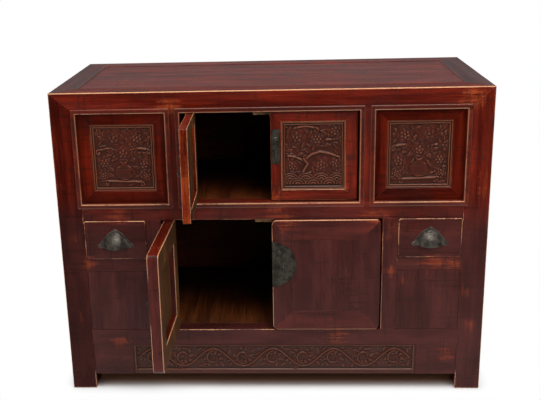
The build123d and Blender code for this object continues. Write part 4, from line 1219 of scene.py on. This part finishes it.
def carve_apron(width, height):
    """A running vine of curls and leaves, between a bead above and a bead below."""
    field = Carving(width, height, apron_step / mm)
    low, high = apron_bead_low / mm, height - apron_bead_high / mm
    middle = (low + high) / 2
    swing = (high - low) / 2 - 10
    halves, margin, edge, count = 9, 14, 5, 180
    pitch = (width - 2 * margin) / halves
    bays = [(half, margin + (half + 0.5) * pitch, 1 if half % 2 == 0 else -1)
            for half in range(halves)]
    field.fill(31, 19, low + 3, 0.0)
    for _, u, side in bays:
        for lean, reach, size in ((0.35, 25, 22), (2.8, 25, 22), (1.1, 15, 18), (2.1, 15, 18),
                                  (-0.35, 27, 17), (-2.8, 27, 17)):
            base = ahead((u, middle), 0.45 * reach, side * lean)
            tip = (base[0] + size * math.cos(lean), base[1] + side * size * math.sin(lean) * 0.9)
            field.leaf(base, tip, 10.0, 3.4, bend=0.16 * side * math.copysign(1, math.cos(lean)))
    shares = [step / count for step in range(count + 1)]
    vine = [(margin + share * (width - 2 * margin),
             middle + swing * math.sin(math.pi * halves * share)) for share in shares]
    field.stem(vine, 5.0, 4.0)
    for half, u, side in bays:
        field.spiral((u, middle - side * 1.5), 20, math.pi / 2 * side, 1.1 * side, 4.4, 3.9)
        field.blossom((u, middle - side * 2.5), 8.5, 5 + half % 2, 0.4 * half)
    field.tool_marks(9)
    outside = (field.v < low) | (field.v > high) | (field.u < edge) | (field.u > width - edge)
    field.rise = np.where(outside, 3.4, field.rise)
    for line, place in ((low, field.v), (high, field.v), (edge, field.u), (width - edge, field.u)):
        field.rise = np.maximum(field.rise, 4.6 * dome((place - line) / 2.2))
    return field


def carved_piece(name, field, corner, across, out, thickness, body, node, skin="panel"):
    """A closed upright panel whose face is a carved field, with its low left at the corner."""
    corner, across, out = (np.array(v, float) for v in (corner, across, out))
    up = np.array((0.0, 0.0, 1.0))
    plane = corner + field.u[..., None] * mm * across + field.v[..., None] * mm * up
    face = (plane + field.rise[..., None] * mm * out).reshape(-1, 3)
    cells = np.arange(field.u.size).reshape(field.u.shape)
    rim = np.concatenate([cells[0], cells[1:, -1], cells[-1, -2::-1], cells[-2:0:-1, 0]])
    below = np.arange(len(rim)) + field.u.size
    ground = plane.reshape(-1, 3)[rim] - thickness * out
    quads = np.stack([cells[:-1, :-1], cells[:-1, 1:], cells[1:, 1:], cells[1:, :-1]],
                     axis=-1).reshape(-1, 4).tolist()
    quads += np.stack([np.roll(rim, -1), rim, below, np.roll(below, -1)], axis=-1).tolist()
    quads.append(below[::-1].tolist())
    mesh = bpy.data.meshes.new(name)
    mesh.from_pydata(np.concatenate([face, ground]).tolist(), [], quads)
    if np.dot(np.cross(across, up), out) < 0:
        mesh.flip_normals()
    mesh.polygons.foreach_set("use_smooth", [len(q) == 4 for q in quads])
    detail = field.rise - field.blurred(4)
    # crest marks the raised edges, which the shader paints pale, partly as rubbing and partly as
    # painted highlight.
    crest = np.clip(detail / 1.3, 0, 1).ravel()
    # hollow marks where the field lies below its surroundings or low on the ground; the shader
    # darkens it.
    hollow = np.clip(-detail / 1.1 + np.clip(0.6 - field.rise, 0, 1) * 0.35, 0, 1).ravel()
    for label, values in (("crest", crest), ("hollow", hollow)):
        layer = mesh.attributes.new(label, "FLOAT", "POINT")
        layer.data.foreach_set("value", np.concatenate([values, np.zeros(len(rim))]))
    piece = show(name, mesh)
    mesh.materials.append(carved[skin])
    mesh.materials.append(bare["door"])
    mesh.polygons[len(quads) - 1].material_index = 1
    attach(piece, body)
    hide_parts(node)


def make_fixed_carvings():
    frame_low, frame_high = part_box("fixed_frame_stiles")
    low_z, height = frame_low.z + fixed_bar, frame_high.z - frame_low.z - 2 * fixed_bar
    back_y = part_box("fixed_panels")[1].y
    ground_y = back_y - plate_thickness + ground_rise
    inner_x = upper_stile_out - panel_edge + fixed_bar
    outer_x = frame_high.x - fixed_bar
    for side_name, low_x in (("left", -outer_x), ("right", inner_x)):
        field = carve_fixed_panel((outer_x - inner_x) / mm, height / mm, side_name == "right")
        carved_piece(f"carved_panel_{side_name}", field, (low_x, ground_y, low_z), X_AXIS, -Y_AXIS,
                     back_y - ground_y, "root", "fixed_panels")


def make_door_carvings():
    """The carved panels of the two upper doors, each in the plane of its leaf."""
    low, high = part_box("upper_right_door_panel")
    low_z, height = low.z + panel_edge, high.z - low.z - 2 * panel_edge
    inner_x, outer_x = low.x + panel_edge, high.x - panel_edge
    ground_y = high.y - plate_thickness + ground_rise
    for side_name, low_x in (("right", inner_x), ("left", -outer_x)):
        door = f"upper_{side_name}_door"
        pivot, turn = Vector(hinge_of(door)["pos_m"]), leaf_turn(door)
        corner = pivot + turn @ (Vector((low_x, ground_y, low_z)) - pivot)
        field = carve_door_panel((outer_x - inner_x) / mm, height / mm, side_name == "left")
        carved_piece(f"carved_door_{side_name}", field, corner, turn @ X_AXIS, turn @ -Y_AXIS,
                     high.y - ground_y, door, f"{door}_panel")


def make_apron():
    low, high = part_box("apron")
    bottom_rail_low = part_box("bottom_rail")[0].z
    field = carve_apron((high.x - low.x) / mm, (bottom_rail_low - low.z) / mm)
    ground_y = low.y + apron_ground
    carved_piece("carved_apron", field, (low.x, ground_y, low.z), X_AXIS, -Y_AXIS,
                 high.y - ground_y, "root", "apron", "apron")


# ---------------------------------------------------------------- build

make_studio()
finish_carcass()
finish_doors()
finish_drawers()
paint_nodes()
make_mouldings()
make_fixed_carvings()
make_door_carvings()
make_apron()
